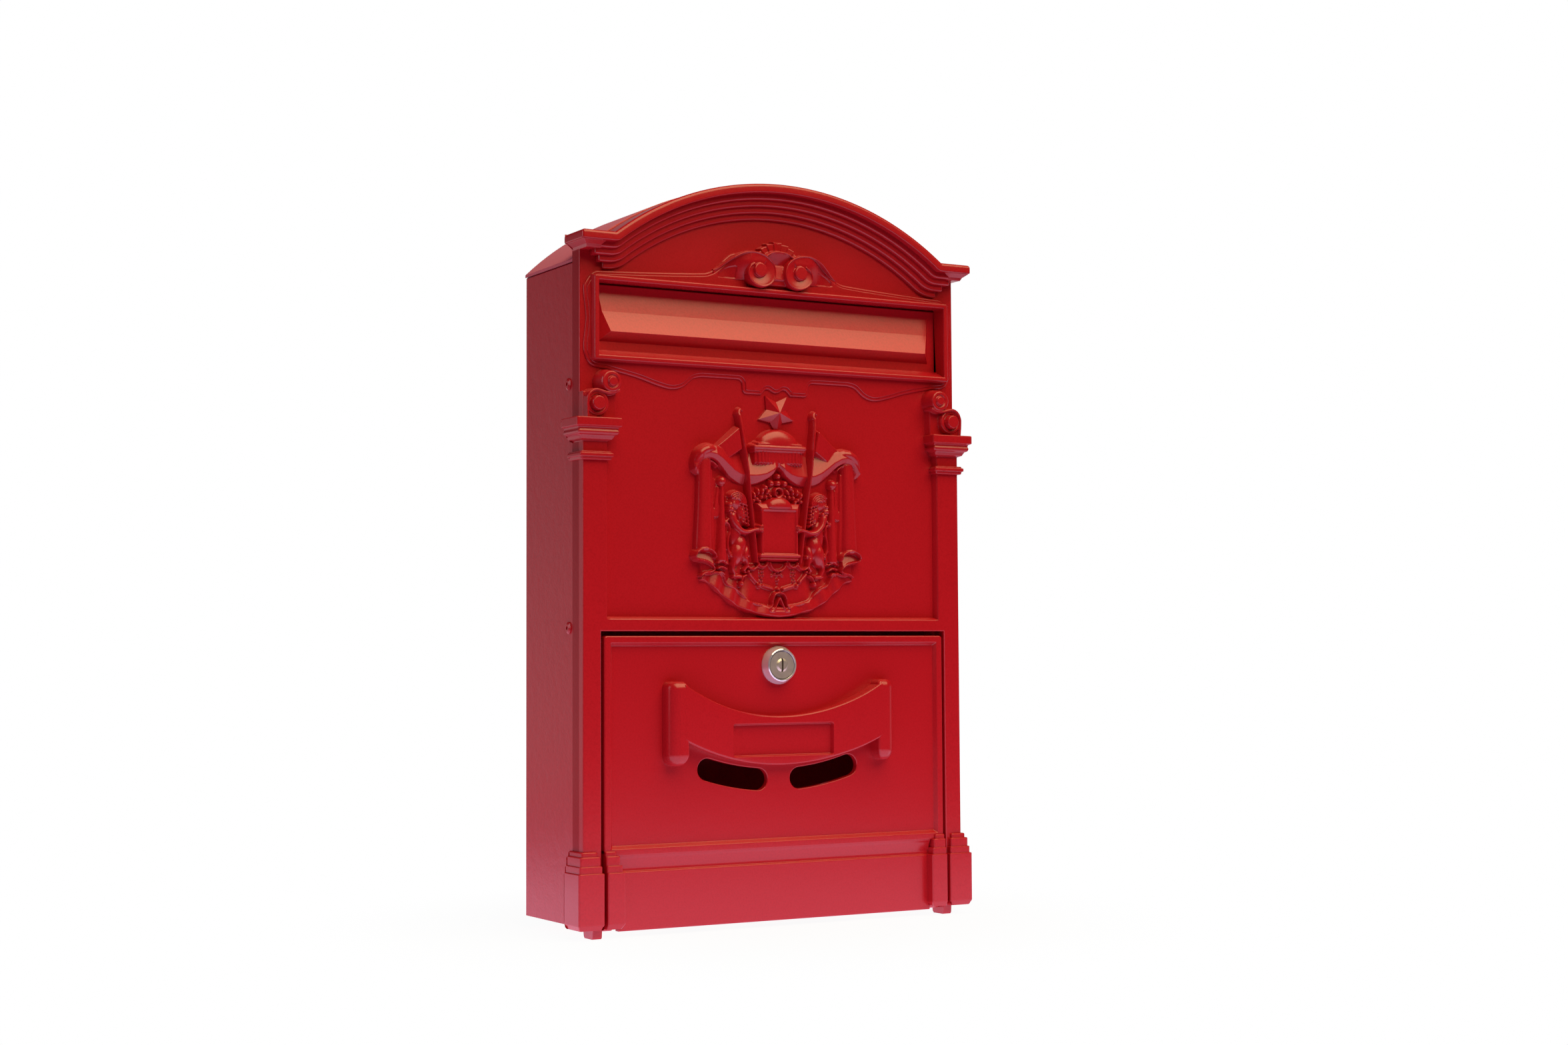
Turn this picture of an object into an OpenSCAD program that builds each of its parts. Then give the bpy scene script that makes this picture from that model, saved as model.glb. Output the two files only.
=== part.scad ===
// Letter box with a cast front, a bottom-hinged door, a hanging slot flap and a folded sheet body.
// X runs across, Y runs from the front to the wall, Z runs up. The origin is at the middle of the base.
// Depths named _p stand in front of the main face, depths named _d lie behind it.

/* [Case] */
// Width over the sides
case_w = 240; // [232:1:260]
// Height of the arch above the feet
case_h = 410.3; // [404:0.1:440]
// Depth from the cornice to the wall
case_d = 85; // [78:0.5:120]
// Height of the hinge lugs below the casting
foot_h = 5.3; // [4.6:0.1:6]
// Wall of the castings
cast_t = 3; // [2.6:0.1:3.4]
// Thickness of the sheet metal
sheet_t = 1.2; // [0.8:0.1:1.5]
// Depth of the casting's rim
rim_d = 9; // [8.4:0.1:10]
// Outer radius of the body's rear folds
fold_r = 2.4; // [2:0.1:4]

/* [Cornice] */
// Radius of the arch's top edge
arch_r = 172; // [168:1:180]
// Drop from the arch to the level ends
end_drop = 35.3; // [33:0.1:38]
// Overhang of the level ends past the sides
end_over = 4.4; // [3:0.1:6]
// Projection of the fascia
cornice_p = 13.6; // [12:0.1:16]
// Height of the fascia
fascia_h = 5; // [4.4:0.1:6]
// Number of mouldings below the fascia
step_n = 4; // [3:1:4]
// Height of each moulding
step_h = 3.4; // [3:0.1:3.6]
// Projection of the top moulding
step_p = 9.5; // [8.6:0.1:10.5]
// How far each moulding falls back from the one above
step_back = 2.45; // [2:0.05:2.9]
// How much shorter each moulding is at its ends
step_in = 3.6; // [3:0.1:4.5]

/* [Slot] */
// Side of the case to the slot
slot_side = 9.3; // [8.4:0.1:14]
// Height of the slot
slot_h = 40.1; // [36:0.1:46]
// Drop from the level ends to the slot
slot_drop = 25.2; // [23:0.1:30]
// Width of the bead round the slot
bead_w = 4.6; // [4:0.1:5.4]
// Projection of the bead
bead_p = 5.5; // [4.6:0.1:7]
// Depth of the throat behind the face
throat_d = 5.5; // [4.5:0.1:6.5]
// Rise of the sloping sill
sill_rise = 3.6; // [2.5:0.1:4.5]

/* [Flap] */
// Thickness of the flap
flap_t = 1.5; // [1.2:0.1:2]
// Gap between the throat and the closed flap
flap_gap = 0.4; // [0.3:0.1:0.8]
// Overlap of the flap behind the throat
flap_lap = 2.8; // [2:0.1:3]
// Depth of the pressed bulge
bulge_p = 5.5; // [3:0.1:6]
// Drop from the slot's top to the bulge's ridge
ridge_drop = 26.5; // [24:0.1:28]
// Radius of the flap rod
rod_r = 1.5; // [1.2:0.05:1.8]
// Distance of the rod behind the face
rod_d = 12.5; // [12:0.1:14]

/* [Pilasters] */
// Width of the pilasters
pilaster_w = 15.4; // [14:0.1:18]
// Projection of the pilasters and the rail
pilaster_p = 4.2; // [3.4:0.1:5]
// Slope of the bevel round the panel
bevel_w = 1.5; // [0.8:0.1:2.2]
// Projection of the capital's slab past the pilaster
slab_p = 6.3; // [5.2:0.1:7]
// Drop from the slot to the top of the capital
capital_drop = 34.2; // [32:0.1:40]
// Height of the volutes above the capital
volute_h = 22.5; // [21:0.1:24]
// Height of the base blocks
block_h = 29.6; // [25:0.1:36]
// Projection of the base blocks past the pilaster
block_p = 4.6; // [4:0.1:5.2]

/* [Door] */
// Side of the case to the door opening
jamb_w = 10.6; // [10:0.1:13]
// Height of the door
door_h = 154.6; // [150:0.1:162]
// Gap round the door
door_gap = 1.7; // [1.2:0.1:2]
// Gap above the door
head_gap = 2.5; // [2:0.1:3.5]
// Height of the rail above the door
rail_h = 7.9; // [7:0.1:12]
// Width of the border round the door's field
border_w = 3.7; // [3:0.1:5]
// Projection of the border
border_p = 4.5; // [4:0.1:5]
// Projection of the door's field
field_p = 2; // [1.6:0.1:2.6]
// Depth of the door's back behind the main face
door_d = 1.5; // [1.2:0.1:2]
// Height of the plinth
plinth_h = 31; // [26:0.1:34]
// Width of the door's base blocks
door_block_w = 10.6; // [9:0.1:12]

/* [Banner] */
// Width of the banner over its rolls
banner_w = 144; // [136:1:150]
// Height of the middle of the banner's lower edge above the door's bottom
banner_z = 83.5; // [80:0.1:86]
// Projection of the banner
banner_p = 7.5; // [6.5:0.1:8]
// Radius of the rolls at its ends
roll_r = 6.75; // [6:0.05:7]
// Width of the name-plate recess
plate_w = 64; // [56:1:70]
// Height of the name-plate recess
plate_h = 18; // [15:0.5:19]
// Width of the curved view slots
view_w = 12; // [10:0.1:13]
// Radius of the middle of the view slots
view_r = 151.3; // [148:0.1:154]

/* [Ornament] */
// Radius of the star's points
star_r = 11.9; // [10:0.1:12.4]
// Radius of the star's inner corners
star_inner_r = 6.5; // [4.6:0.1:7.4]
// Projection of the star
star_p = 5.6; // [4:0.1:6.4]
// Projection of the tent's top
tent_p = 4.6; // [3.8:0.1:5.4]
// Radius of the lances
lance_r = 1.5; // [1.3:0.1:1.8]

/* [Hinge] */
// Radius of the hinge pins
pin_r = 1.75; // [1.5:0.05:2]
// Running clearance of pins, rod and plug
run_gap = 0.05; // [0.03:0.01:0.08]
// Distance of the hinge axis behind the face
hinge_d = 3.5; // [3:0.1:4]
// Height of the hinge axis above the feet
hinge_z = 6.5; // [6.2:0.1:7]
// Thickness of the hinge lugs
lug_t = 5.4; // [4.6:0.1:6]

/* [Lock] */
// Drop from the door's top to the lock's middle
lock_drop = 16.2; // [15:0.1:20]
// Radius of the lock's bezel
bezel_r = 10.6; // [10.2:0.1:12]
// Height of the lock's bezel
bezel_p = 5; // [4:0.1:6]
// Radius of the lock's barrel
barrel_r = 8.5; // [8.2:0.1:9]
// Radius of the plug
plug_r = 5.6; // [5.2:0.1:6]
// Length of the barrel behind the door
barrel_l = 7.2; // [6.6:0.1:9]
// Length of the cam from the lock's axis
cam_l = 28; // [26:0.5:32]
// Width of the cam
cam_w = 14; // [12:0.5:15]

/* [Fixings] */
// Radius of the side rivets' heads
rivet_head_r = 3.25; // [2.8:0.05:3.6]
// Radius of the side rivets' shanks
rivet_r = 1.6; // [1.4:0.05:1.9]
// Distance of the side rivets behind the face
rivet_d = 13.5; // [13:0.1:15]
// Height of the lower rivets above the feet
rivet_z = 164; // [150:1:200]
// Drop from the slot to the upper rivets
rivet_drop = 14.8; // [12:0.1:20]
// Radius of the wall holes
wall_hole_r = 3; // [2:0.1:4]
// Spacing of the wall holes across
wall_hole_x = 140; // [100:1:180]
// Spacing of the wall holes upwards
wall_hole_z = 200; // [150:1:230]
// Height of the lower wall holes above the feet
wall_hole_low = 90; // [60:1:110]

/* [Hidden] */

red = [0.70, 0.09, 0.11];
steel = [0.70, 0.71, 0.73];
chrome = [0.82, 0.83, 0.85];
arch_fn = 240;
round_fn = 48;

// clearances between pieces
press_gap = 0.02;
face_gap = 0.3;
cut = 0.5;

// overall places
half_w = case_w / 2;
face_y = cornice_p - case_d / 2;
rear_d = case_d - cornice_p;
arch_z = case_h - arch_r;
end_z = case_h - end_drop;
corner_x = sqrt(pow(arch_r, 2) - pow(end_z - arch_z, 2));
cornice_h = fascia_h + step_n * step_h;

// slot and flap
slot_x = half_w - slot_side;
slot_t = end_z - slot_drop;
slot_b = slot_t - slot_h;
throat_t = 2;
flap_d = throat_d + flap_gap;
flap_x = slot_x + flap_lap;
flap_b = slot_b - flap_lap + 0.2;
rod_z = slot_t + 1.6;
eye_r = rod_r + run_gap + 1.2;
ridge_z = slot_t - ridge_drop;

// pilasters
pilaster_x = half_w - pilaster_w;
capital_z = slot_b - capital_drop;
neck_h = 18.2;
capital_h = 22.5;
side_wrap_d = 10;

// door
door_b = foot_h - 0.3;
door_t = door_b + door_h;
opening_x = half_w - jamb_w;
door_x = opening_x - door_gap;
opening_t = door_t + head_gap;
panel_z = opening_t + rail_h;
field_x = door_x - border_w;
plinth_p = 3;
rail_b = door_b + plinth_h + 7;
field_b = rail_b + 3.4;
field_t = door_t - border_w + 0.4;
lock_z = door_t - lock_drop;
block_t = foot_h + block_h;
stop_w = 7;
stop_gap = 0.4;
door_rim_d = 5;

// banner and view slots, round one middle above the door
banner_low_r = 143.1;
banner_top_r = 124.7;
banner_b = door_b + banner_z;
banner_mid = banner_b + banner_low_r;
banner_t = banner_b + 27;
roll_x = banner_w / 2 - roll_r;
roll_b = banner_b + 2;
roll_t = banner_b + 45.5;
view_a1 = 5;
view_a2 = 17.2;

// ornament
star_rim_p = 1.3;

// hinge lugs
lug_x = opening_x - 1;
knuckle_r = pin_r + run_gap + 1.4;
knuckle_l = 7;

// lock, measured from the door's field
field_d = -field_p;
nut_h = 3;
lockwasher_t = 0.8;
nut_flats = 22;
cam_t = 2;
square_w = 6;
head_r = 7.5;
wafer_n = 5;
wafer_t = 0.8;
wafer_pitch = 1.8;
cam_d = door_d + barrel_l + face_gap + 1;

// folded sheets
sheet_z = foot_h + 1.2;
flange_h = 11;

// rivets
rivet_lug_t = 3;
upper_rivet_z = slot_b - rivet_drop;

// shape helpers

// a flat outline (x, z) made solid from front ahead of the main face to back behind it
module relief(front, back = 0)
  translate([0, face_y + back, 0]) rotate([90, 0, 0]) linear_extrude(front + back) children();

// a side profile (depth, z) carried across a width
module across(w)
  translate([-w / 2, face_y, 0]) rotate([90, 0, 90]) linear_extrude(w) children();

module both() {
  children();
  mirror([1, 0, 0]) children();
}

// a block whose four sides slope in from depth y0 to depth y1
module hipped(w, z0, z1, y0, y1, slope)
  intersection() {
    translate([0, face_y, z0]) linear_extrude(z1 - z0)
      polygon([[-w / 2, y0], [w / 2, y0], [w / 2 - slope, y1], [-w / 2 + slope, y1]]);
    across(w) polygon([[y0, z0], [y1, z0 + slope], [y1, z1 - slope], [y0, z1]]);
  }

// a bar across from x0 to x1
module bar(x0, x1, d, z, r)
  translate([x0, face_y + d, z]) rotate([0, 90, 0]) cylinder(x1 - x0, r, r, $fn = round_fn);

// a round body on an axis through the face
module disc(x, z, front, back, r)
  translate([x, face_y - front, z]) rotate([-90, 0, 0]) cylinder(front + back, r, r, $fn = round_fn);

module ball(x, z, p, r)
  translate([x, face_y - p, z]) sphere(r, $fn = 24);

// a bead sunk a little into the main face
module seated_ball(x, z, r) ball(x, z, r - 0.4, r);

// smooth curve through points, as a list of points
function spline(a, b, c, d, t) =
  0.5 * (2 * b + (c - a) * t + (2 * a - 5 * b + 4 * c - d) * t * t + (3 * b - a - 3 * c + d) * t * t * t);
function smooth(p, n) = [
  for (i = [0 : len(p) - 2])
    for (k = [0 : n - 1])
      spline(p[max(i - 1, 0)], p[i], p[i + 1], p[min(i + 2, len(p) - 1)], k / n),
  p[len(p) - 1]
];
function flip(p) = [for (i = [len(p) - 1 : -1 : 0]) [-p[i][0], p[i][1]]];

// a half outline on the right, closed with its mirror image
module mirrored_outline(p) polygon(concat(p, flip(p)));

// cornice and outline of the front

// everything under the cornice's top edge, moved in by d
module under_arch(d) {
  translate([0, arch_z]) circle(arch_r - d, $fn = arch_fn);
  translate([-half_w - end_over, 0]) square([2 * (half_w + end_over), end_z - d]);
}

module face_outline(inset = 0)
  intersection() {
    under_arch(inset);
    translate([-half_w + inset, foot_h - inset]) square([2 * (half_w - inset), case_h]);
  }

module arch_band(d0, d1, x)
  intersection() {
    difference() {
      under_arch(d0);
      under_arch(d1);
    }
    translate([-x, end_z - cornice_h]) square([2 * x, case_h]);
  }

module cornice() {
  relief(cornice_p, cast_t) arch_band(0, fascia_h, half_w + end_over - 1);
  relief(cornice_p - 1, rim_d) difference() {
    arch_band(0, fascia_h, half_w + end_over);
    square([2 * half_w - 2 * cast_t, 2 * case_h], center = true);
  }
  relief(0, rim_d) arch_band(0, cast_t, half_w);
  for (i = [0 : step_n - 1])
    relief(step_p - i * step_back, cast_t)
      arch_band(fascia_h + i * step_h, fascia_h + (i + 1) * step_h, half_w - 2 - i * step_in);
  // sloping underside of the level ends
  both() relief(cornice_p - 2.6, rim_d - 1)
    polygon([
      [half_w - cast_t, end_z - fascia_h - step_h], [half_w, end_z - fascia_h - step_h],
      [half_w + end_over - 0.6, end_z - fascia_h], [half_w - cast_t, end_z - fascia_h]
    ]);
}

module cornice_core()
  relief(step_p - cast_t, cast_t + cut) arch_band(cast_t, fascia_h + step_h, half_w - cast_t);

// pilaster, capital and base block on the right

module pilaster()
  translate([0, face_y, foot_h]) linear_extrude(slot_b - 12 - foot_h)
    polygon([
      [half_w, 0.5], [half_w, 0.8 - pilaster_p], [half_w - 0.8, -pilaster_p],
      [pilaster_x + bevel_w, -pilaster_p], [pilaster_x, 0], [pilaster_x, 0.5]
    ]);

// a moulding that wraps the pilaster: steps are [height, projection], from the bottom up
module wrapped(z, steps, inner_x) {
  right = [for (s = steps) [half_w + s[1], z + s[0]]];
  left = [for (i = [len(steps) - 1 : -1 : 0]) [inner_x - steps[i][1], z + steps[i][0]]];
  front = [for (s = steps) [-pilaster_p - s[1], z + s[0]]];
  back = [
    [side_wrap_d, z + steps[len(steps) - 1][0]],
    [side_wrap_d, z + steps[0][0] + 4],
    [side_wrap_d - 2, z + steps[0][0]]
  ];
  difference() {
    intersection() {
      relief(2 * cornice_p, side_wrap_d + cut) polygon(concat(right, left));
      translate([2 * half_w, 0, 0]) across(4 * half_w) polygon(concat(front, back));
    }
    // open behind the plate, inside the sides
    translate([inner_x - 20, face_y + cast_t, z - cut])
      cube([half_w - cast_t - inner_x + 20, side_wrap_d, 60]);
    // room for the edge of the side sheet
    translate([inner_x - 20, face_y + rim_d, z - cut])
      cube([half_w - inner_x + 20, side_wrap_d, 60]);
  }
}

module capital() {
  z = capital_z - capital_h;
  ovolo = [for (a = [0 : 15 : 90]) [14 + 3.6 * sin(a), 3.8 + (slab_p - 4.7) * (1 - cos(a))]];
  wrapped(z, [[0, 0.6], [1.1, 2], [2.6, 2.6], [4.2, 2], [4.3, 0.4]], pilaster_x + bevel_w);
  wrapped(z, [[9.8, 0.4], [10.2, 1.9], [12, 2.3], [12.4, 3.2], [13.4, 3.6]], pilaster_x + bevel_w);
  wrapped(z, concat([[13.4, 3.4]], ovolo), pilaster_x + bevel_w);
  wrapped(z, [
    [17.6, slab_p - 1], [18.4, slab_p], [capital_h - 0.9, slab_p], [capital_h, slab_p - 0.9]
  ], pilaster_x + bevel_w);
}

// tiers of the base blocks: [height, projection]
function block_steps(p) = [
  [0, p - 0.9], [0.9, p], [block_h - 1, p], [block_h, p - 0.9],
  [block_h + 0.1, p - 0.7], [block_h + 2.8, p - 0.7], [block_h + 3.7, p - 1.6],
  [block_h + 3.8, p - 1.4], [block_h + 7.7, p - 1.4], [block_h + 8.6, p - 2.3],
  [block_h + 8.7, p - 2.6], [block_h + 10.3, p - 2.6], [block_h + 11.2, p - 3.6]
];

module base_block() wrapped(foot_h, block_steps(block_p), opening_x + block_p);

module base_block_core()
  translate([opening_x + cast_t, face_y - block_p - pilaster_p + cast_t, foot_h + cast_t])
    cube([jamb_w - 2 * cast_t, block_p + pilaster_p + cut, block_h - 2 * cast_t]);

// a roll with a boss, seen from the front
module scroll(x, z, p, r) {
  disc(x, z, p - 1.2, 0.5, r);
  difference() {
    disc(x, z, p, 0, r);
    disc(x, z, p + cut, 0, r * 0.74);
  }
  disc(x, z, p, 0, r * 0.42);
}

module capital_volute() {
  z = capital_z;
  top = volute_h - 2.4;
  sweep = smooth([
    [half_w - 20.4, top], [half_w - 16, top - 4.8], [half_w - 10, top - 5.2], [half_w - 4, top - 8.5],
    [half_w - 1.6, top - 14], [half_w - 3, -0.2]
  ], 6);
  inner = smooth([[half_w - 13, -0.2], [half_w - 14, 6], [half_w - 17, 11], [half_w - 20, 15]], 4);
  relief(pilaster_p + 3.6, 0.5) translate([0, z]) polygon(concat(sweep, inner));
  scroll(half_w - 15.6, z + top - 0.5, pilaster_p + 5, 4.8);
  scroll(half_w - 7.4, z + 7.2, pilaster_p + 6.6, 6.8);
}

// slot

module slot_outline(grow = 0)
  translate([-slot_x - grow, slot_b - grow]) square([2 * (slot_x + grow), slot_h + 2 * grow]);

module bead() {
  relief(bead_p - 1.1, 0.5) slot_outline(bead_w);
  relief(bead_p, 0.5) slot_outline(1.9);
  relief(bead_p - 0.3, 0.5) difference() {
    slot_outline(bead_w - 0.5);
    slot_outline(2.9);
  }
}

module throat() {
  relief(0, throat_d) difference() {
    slot_outline(throat_t);
    slot_outline();
  }
  // weather sill that rises inwards
  across(2 * slot_x + 1) polygon([
    [1 - bead_p, slot_b - 1], [1 - bead_p, slot_b], [throat_d - 2, slot_b + sill_rise],
    [throat_d, slot_b + sill_rise], [throat_d, slot_b - 1]
  ]);
}

// raised plate with a curved edge round the slot
module cartouche()
  relief(1.5, 0.5) {
    top = smooth([
      [14, slot_t + 21.7], [26, slot_t + 21.9], [31.5, slot_t + 18.8], [36, slot_t + 14.2],
      [42, slot_t + 10.2], [50, slot_t + 8.9], [80, slot_t + 7], [slot_x - 6, slot_t + 5.8],
      [slot_x + 1.5, slot_t + 4.8], [slot_x + 6.4, slot_t - 1], [slot_x + 7.3, slot_t - 6],
      [slot_x + 5.9, slot_t - slot_h / 2], [slot_x + 7.3, slot_b + 6], [slot_x + 6.2, slot_b - 1],
      [slot_x + 2.2, slot_b - 5.8], [slot_x - 7, slot_b - 7.4], [87, slot_b - 10.7], [74, slot_b - 14.4],
      [65, slot_b - 16], [58, slot_b - 14.2], [52, slot_b - 9.6], [47, slot_b - 8.3]
    ], 4);
    middle = smooth([
      [9, slot_b - 16.2], [7, slot_b - 14], [5, slot_b - 12.8], [2.6, slot_b - 13.9], [0, slot_b - 14.8]
    ], 3);
    mirrored_outline(concat(
      [[0, slot_t + 21.7]], top,
      [[22, slot_b - 8.4], [21.3, slot_b - 9], [21.3, slot_b - 15.2], [20.3, slot_b - 16.2]], middle
    ));
  }

// pair of rolls, band and shell over the slot
module crest() {
  shell_z = slot_t + 20;
  both() scroll(13.5, slot_t + 12.6, 8, 9);
  relief(5.4, 0.5) translate([-5.5, slot_t + 7]) square([11, 8]);
  for (z = [7.8, 14.2])
    bar(-5.6, 5.6, -5.4, slot_t + z, 0.9);
  relief(3.4, 0.5) polygon([
    [-11, shell_z - 1], [-4, shell_z - 5.5], [4, shell_z - 5.5], [11, shell_z - 1], [5, shell_z + 1.6],
    [-5, shell_z + 1.6]
  ]);
  for (a = [-54 : 18 : 54])
    translate([10.2 * sin(a), face_y, shell_z - 4 + 10.2 * cos(a)]) intersection() {
      sphere(2.7, $fn = 24);
      translate([-5, -5, -5]) cube([10, 5.4, 10]);
    }
  relief(2.6, 0.5) difference() {
    translate([0, shell_z - 4]) circle(11, $fn = round_fn);
    translate([-20, shell_z - 24]) square([40, 20]);
  }
}

// raised ornament on the panel, with its own z from the panel's lower edge

module lance() {
  foot = [14.5, 27];
  tip = [25, 114];
  len = norm(tip - foot);
  lean = atan2(tip[0] - foot[0], tip[1] - foot[1]);
  translate([foot[0], face_y - 4.4, foot[1]]) rotate([0, lean, 0]) cylinder(len, lance_r, lance_r, $fn = 24);
  ball(tip[0], tip[1], 4.4, lance_r + 0.4);
  relief(1.6, 0.5) polygon([[25, 104], [40, 91.5], [32.5, 85.5], [23, 93]]);
}

module canopy()
  relief(tent_p, 0.5) mirrored_outline(smooth([
    [0, 86], [9, 87.2], [18, 87.5], [27, 87], [36, 90.5], [45, 94], [51, 92.4], [54.4, 87], [54, 81.5],
    [50.5, 78.4], [47.5, 82], [44, 84.6], [38, 82], [30, 75.5], [21, 72.6], [11, 76.4], [4, 82.4], [0, 85]
  ], 4));

module drape() {
  relief(2, 0.5) polygon(smooth([
    [31, 73], [40, 81], [50, 79.5], [52.4, 60], [53.8, 38], [50, 33.5], [44, 35], [36, 29], [31, 31]
  ], 3));
  for (f = [[45.5, 4.2, 34], [51.2, 2.7, 35], [41, 2.2, 33], [36, 2, 29], [32.6, 1.5, 31]])
    translate([f[0], face_y - 1.2, f[2]]) intersection() {
      cylinder(45, f[1], f[1], $fn = 32);
      translate([-6, -6, 0]) cube([12, 7.4, 45]);
    }
  ball(35.6, 74, 2.6, 3);
  relief(3.4, 0.5) polygon([[37.2, 70], [38.4, 70], [40.8, 54.4], [38, 54.4]]);
}

module hem() {
  relief(2.2, 0.5) mirrored_outline(smooth([
    [0, 0.6], [12, 2.4], [20, 5], [28, 9.4], [35, 13.4], [40, 17.8], [48.5, 20.6], [46.5, 27], [40, 24.4],
    [33, 20], [24, 20.5], [12, 13], [0, 11.5]
  ], 4));
  relief(3, 0.5) mirrored_outline(smooth([
    [0, 4.4], [13, 6.4], [24, 11.6], [32, 17.6], [38, 23.6], [32, 26.5], [20, 19], [9, 12], [0, 10]
  ], 4));
  both() for (c = [[46.5, 35.5, 4], [47.5, 26.5, 3]])
    relief(4, 0.5) translate([c[0], c[1]]) difference() {
      circle(c[2], $fn = 32);
      translate([-1.2, -0.8]) circle(c[2] - 1.6, $fn = 32);
    }
}

module beast() {
  relief(3.4, 0.5) polygon(smooth([
    [26, 69], [30.5, 66], [32, 60], [30, 54.5], [29.4, 48], [30.6, 42], [29.6, 35], [28, 29], [29.5, 24],
    [27, 21], [22, 21.6], [22.5, 24.5], [20, 28], [18.6, 34], [19.5, 40], [22.5, 45], [21, 50], [17.6, 54],
    [18.5, 60], [21, 66], [26, 69]
  ], 3));
  ball(26.5, 63.5, 1.5, 5);
  ball(24.5, 57, 0.6, 4.6);
  ball(24, 37, 0.8, 5.4);
  ball(25.5, 28, 1.4, 3);
  translate([26.5, face_y - 4, 54.5]) rotate([0, -135, 0]) cylinder(7.4, 1.7, 1.4, $fn = 24);
  translate([21.6, face_y - 4.6, 48.6]) rotate([0, -90, 0]) cylinder(11, 1.3, 1.1, $fn = 24);
  ball(21.5, 48.8, 4.2, 1.6);
  translate([32, face_y - 1.4, 38]) cylinder(13, 1.2, 1.2, $fn = 24);
  ball(32.6, 51.5, 1.6, 1.9);
}

module panel_shield() {
  relief(6, 0.5) polygon([[-11.4, 34], [11.4, 34], [11.4, 60], [13.6, 62.6], [-13.6, 62.6], [-11.4, 60]]);
  relief(6.8, 0.5) difference() {
    translate([-11.4, 34]) square([22.8, 26]);
    translate([-9.6, 36]) square([19.2, 22]);
  }
  relief(7.6, 0.5) translate([-11.8, 32.6]) square([23.6, 2.4]);
  relief(4.6, 0.5) intersection() {
    translate([0, 56]) circle(10, $fn = round_fn);
    translate([-10, 60]) square([20, 8]);
  }
}

module coronet() {
  difference() {
    disc(0, 69, 3.6, 0.5, 2.6);
    disc(0, 69, 4.6, 0, 1.3);
  }
  for (b = [[0, 77.6, 1.9], [0, 73.5, 1.8]])
    seated_ball(b[0], b[1], b[2]);
  both() for (b = [
    [4.3, 73.6, 1.9], [8.4, 71, 1.8], [12.8, 69.4, 1.8], [15.6, 66.4, 1.4], [9.6, 66.6, 1.7],
    [12.6, 64.2, 1.3]
  ]) seated_ball(b[0], b[1], b[2]);
}

module cap() {
  relief(5, 0.5) intersection() {
    translate([0, 90.4]) circle(13.8, $fn = round_fn);
    translate([-14, 94]) square([28, 12]);
  }
  bar(-17, 17, -4.6, 94, 1.9);
  relief(4.4, 0.5) translate([-15.4, 85]) square([30.8, 9]);
  for (x = [-14.3 : 2.2 : 14.3])
    translate([x, face_y - 4.2, 84.6]) cylinder(8.4, 1.3, 1.3, $fn = 16);
}

module star_outline()
  polygon([for (i = [0 : 9]) (i % 2 == 0 ? star_r : star_inner_r) * [-sin(36 * i), -cos(36 * i)]]);

// one point down, with ten facets over an upright rim
module star()
  translate([0, face_y, 113.4]) rotate([90, 0, 0]) {
    translate([0, 0, -0.5]) linear_extrude(star_rim_p + 0.5) star_outline();
    translate([0, 0, star_rim_p]) linear_extrude(star_p - star_rim_p, scale = 0.02) star_outline();
  }

module chain() {
  both() for (b = [
    [12.4, 22.6, 1.1], [11.2, 20.4, 1], [9.6, 20.8, 1], [10.6, 18.8, 1], [10.4, 16.6, 1.3], [22.4, 17.6, 1.5],
    [2.4, 21.6, 1.1], [17.5, 30, 1.4], [12.8, 30.4, 1.3]
  ]) seated_ball(b[0], b[1], b[2]);
  for (b = [[0, 22.8, 1], [0, 20.6, 1], [0, 18.8, 0.9], [0, 14.6, 1.4]])
    seated_ball(b[0], b[1], b[2]);
  both() translate([2.2, face_y - 0.8, 15.4]) rotate([0, 72, 0]) cylinder(7.2, 1.1, 1.1, $fn = 24);
  both() translate([12, face_y - 0.8, 18]) rotate([0, 48, 0]) cylinder(7.6, 1.1, 1.1, $fn = 24);
  both() difference() {
    disc(2.9, 9.4, 3.8, 0.5, 3.2);
    disc(2.9, 9.4, 4.6, 0, 1.7);
  }
  bar(-5.4, 5.4, -2.6, 2.8, 1.2);
  both() ball(6, 3.4, 2.4, 1.5);
}

module ornament()
  translate([0, 0, panel_z]) {
    both() lance();
    canopy();
    both() drape();
    hem();
    both() beast();
    panel_shield();
    coronet();
    cap();
    star();
    chain();
  }

// hinge lug with a tapered foot, on the right
module hinge_lug()
  translate([lug_x, face_y, 0]) rotate([90, 0, 90]) linear_extrude(lug_t)
    polygon([
      [-1.6, 0], [hinge_d + 4, 0], [hinge_d + 5, 1], [hinge_d + 6, foot_h + 1], [hinge_d + 5.4, 16],
      [0, 16], [-2.8, foot_h + 1], [-2.4, 1]
    ]);

// lug inside the body that takes a side rivet
module rivet_lug(z)
  translate([half_w - sheet_t - rivet_lug_t, face_y, z - 7])
    difference() {
      cube([rivet_lug_t, rivet_d + 6, 14]);
      translate([-cut, rivet_d, 7]) rotate([0, 90, 0])
        cylinder(rivet_lug_t + 1, rivet_r + press_gap, rivet_r + press_gap, $fn = round_fn);
    }

module rod_lug()
  difference() {
    translate([0, face_y, 0]) linear_extrude(rod_z + rod_r + 3)
      polygon([
        [half_w - cast_t - 2.6, 1], [half_w - cast_t + 0.2, 1], [half_w - cast_t + 0.2, rim_d - 1],
        [half_w - cast_t, rim_d], [half_w - cast_t, rod_d + rod_r + 2],
        [half_w - cast_t - 2.6, rod_d + rod_r + 2]
      ]);
    translate([0, face_y - cut, 0]) cube([half_w, rod_d * 2, rod_z - rod_r - 4]);
  }

module door_stop()
  translate([opening_x - stop_w, face_y + door_rim_d + stop_gap, opening_t - 12])
    cube([stop_w + 1, 2.2, 13]);

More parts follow.
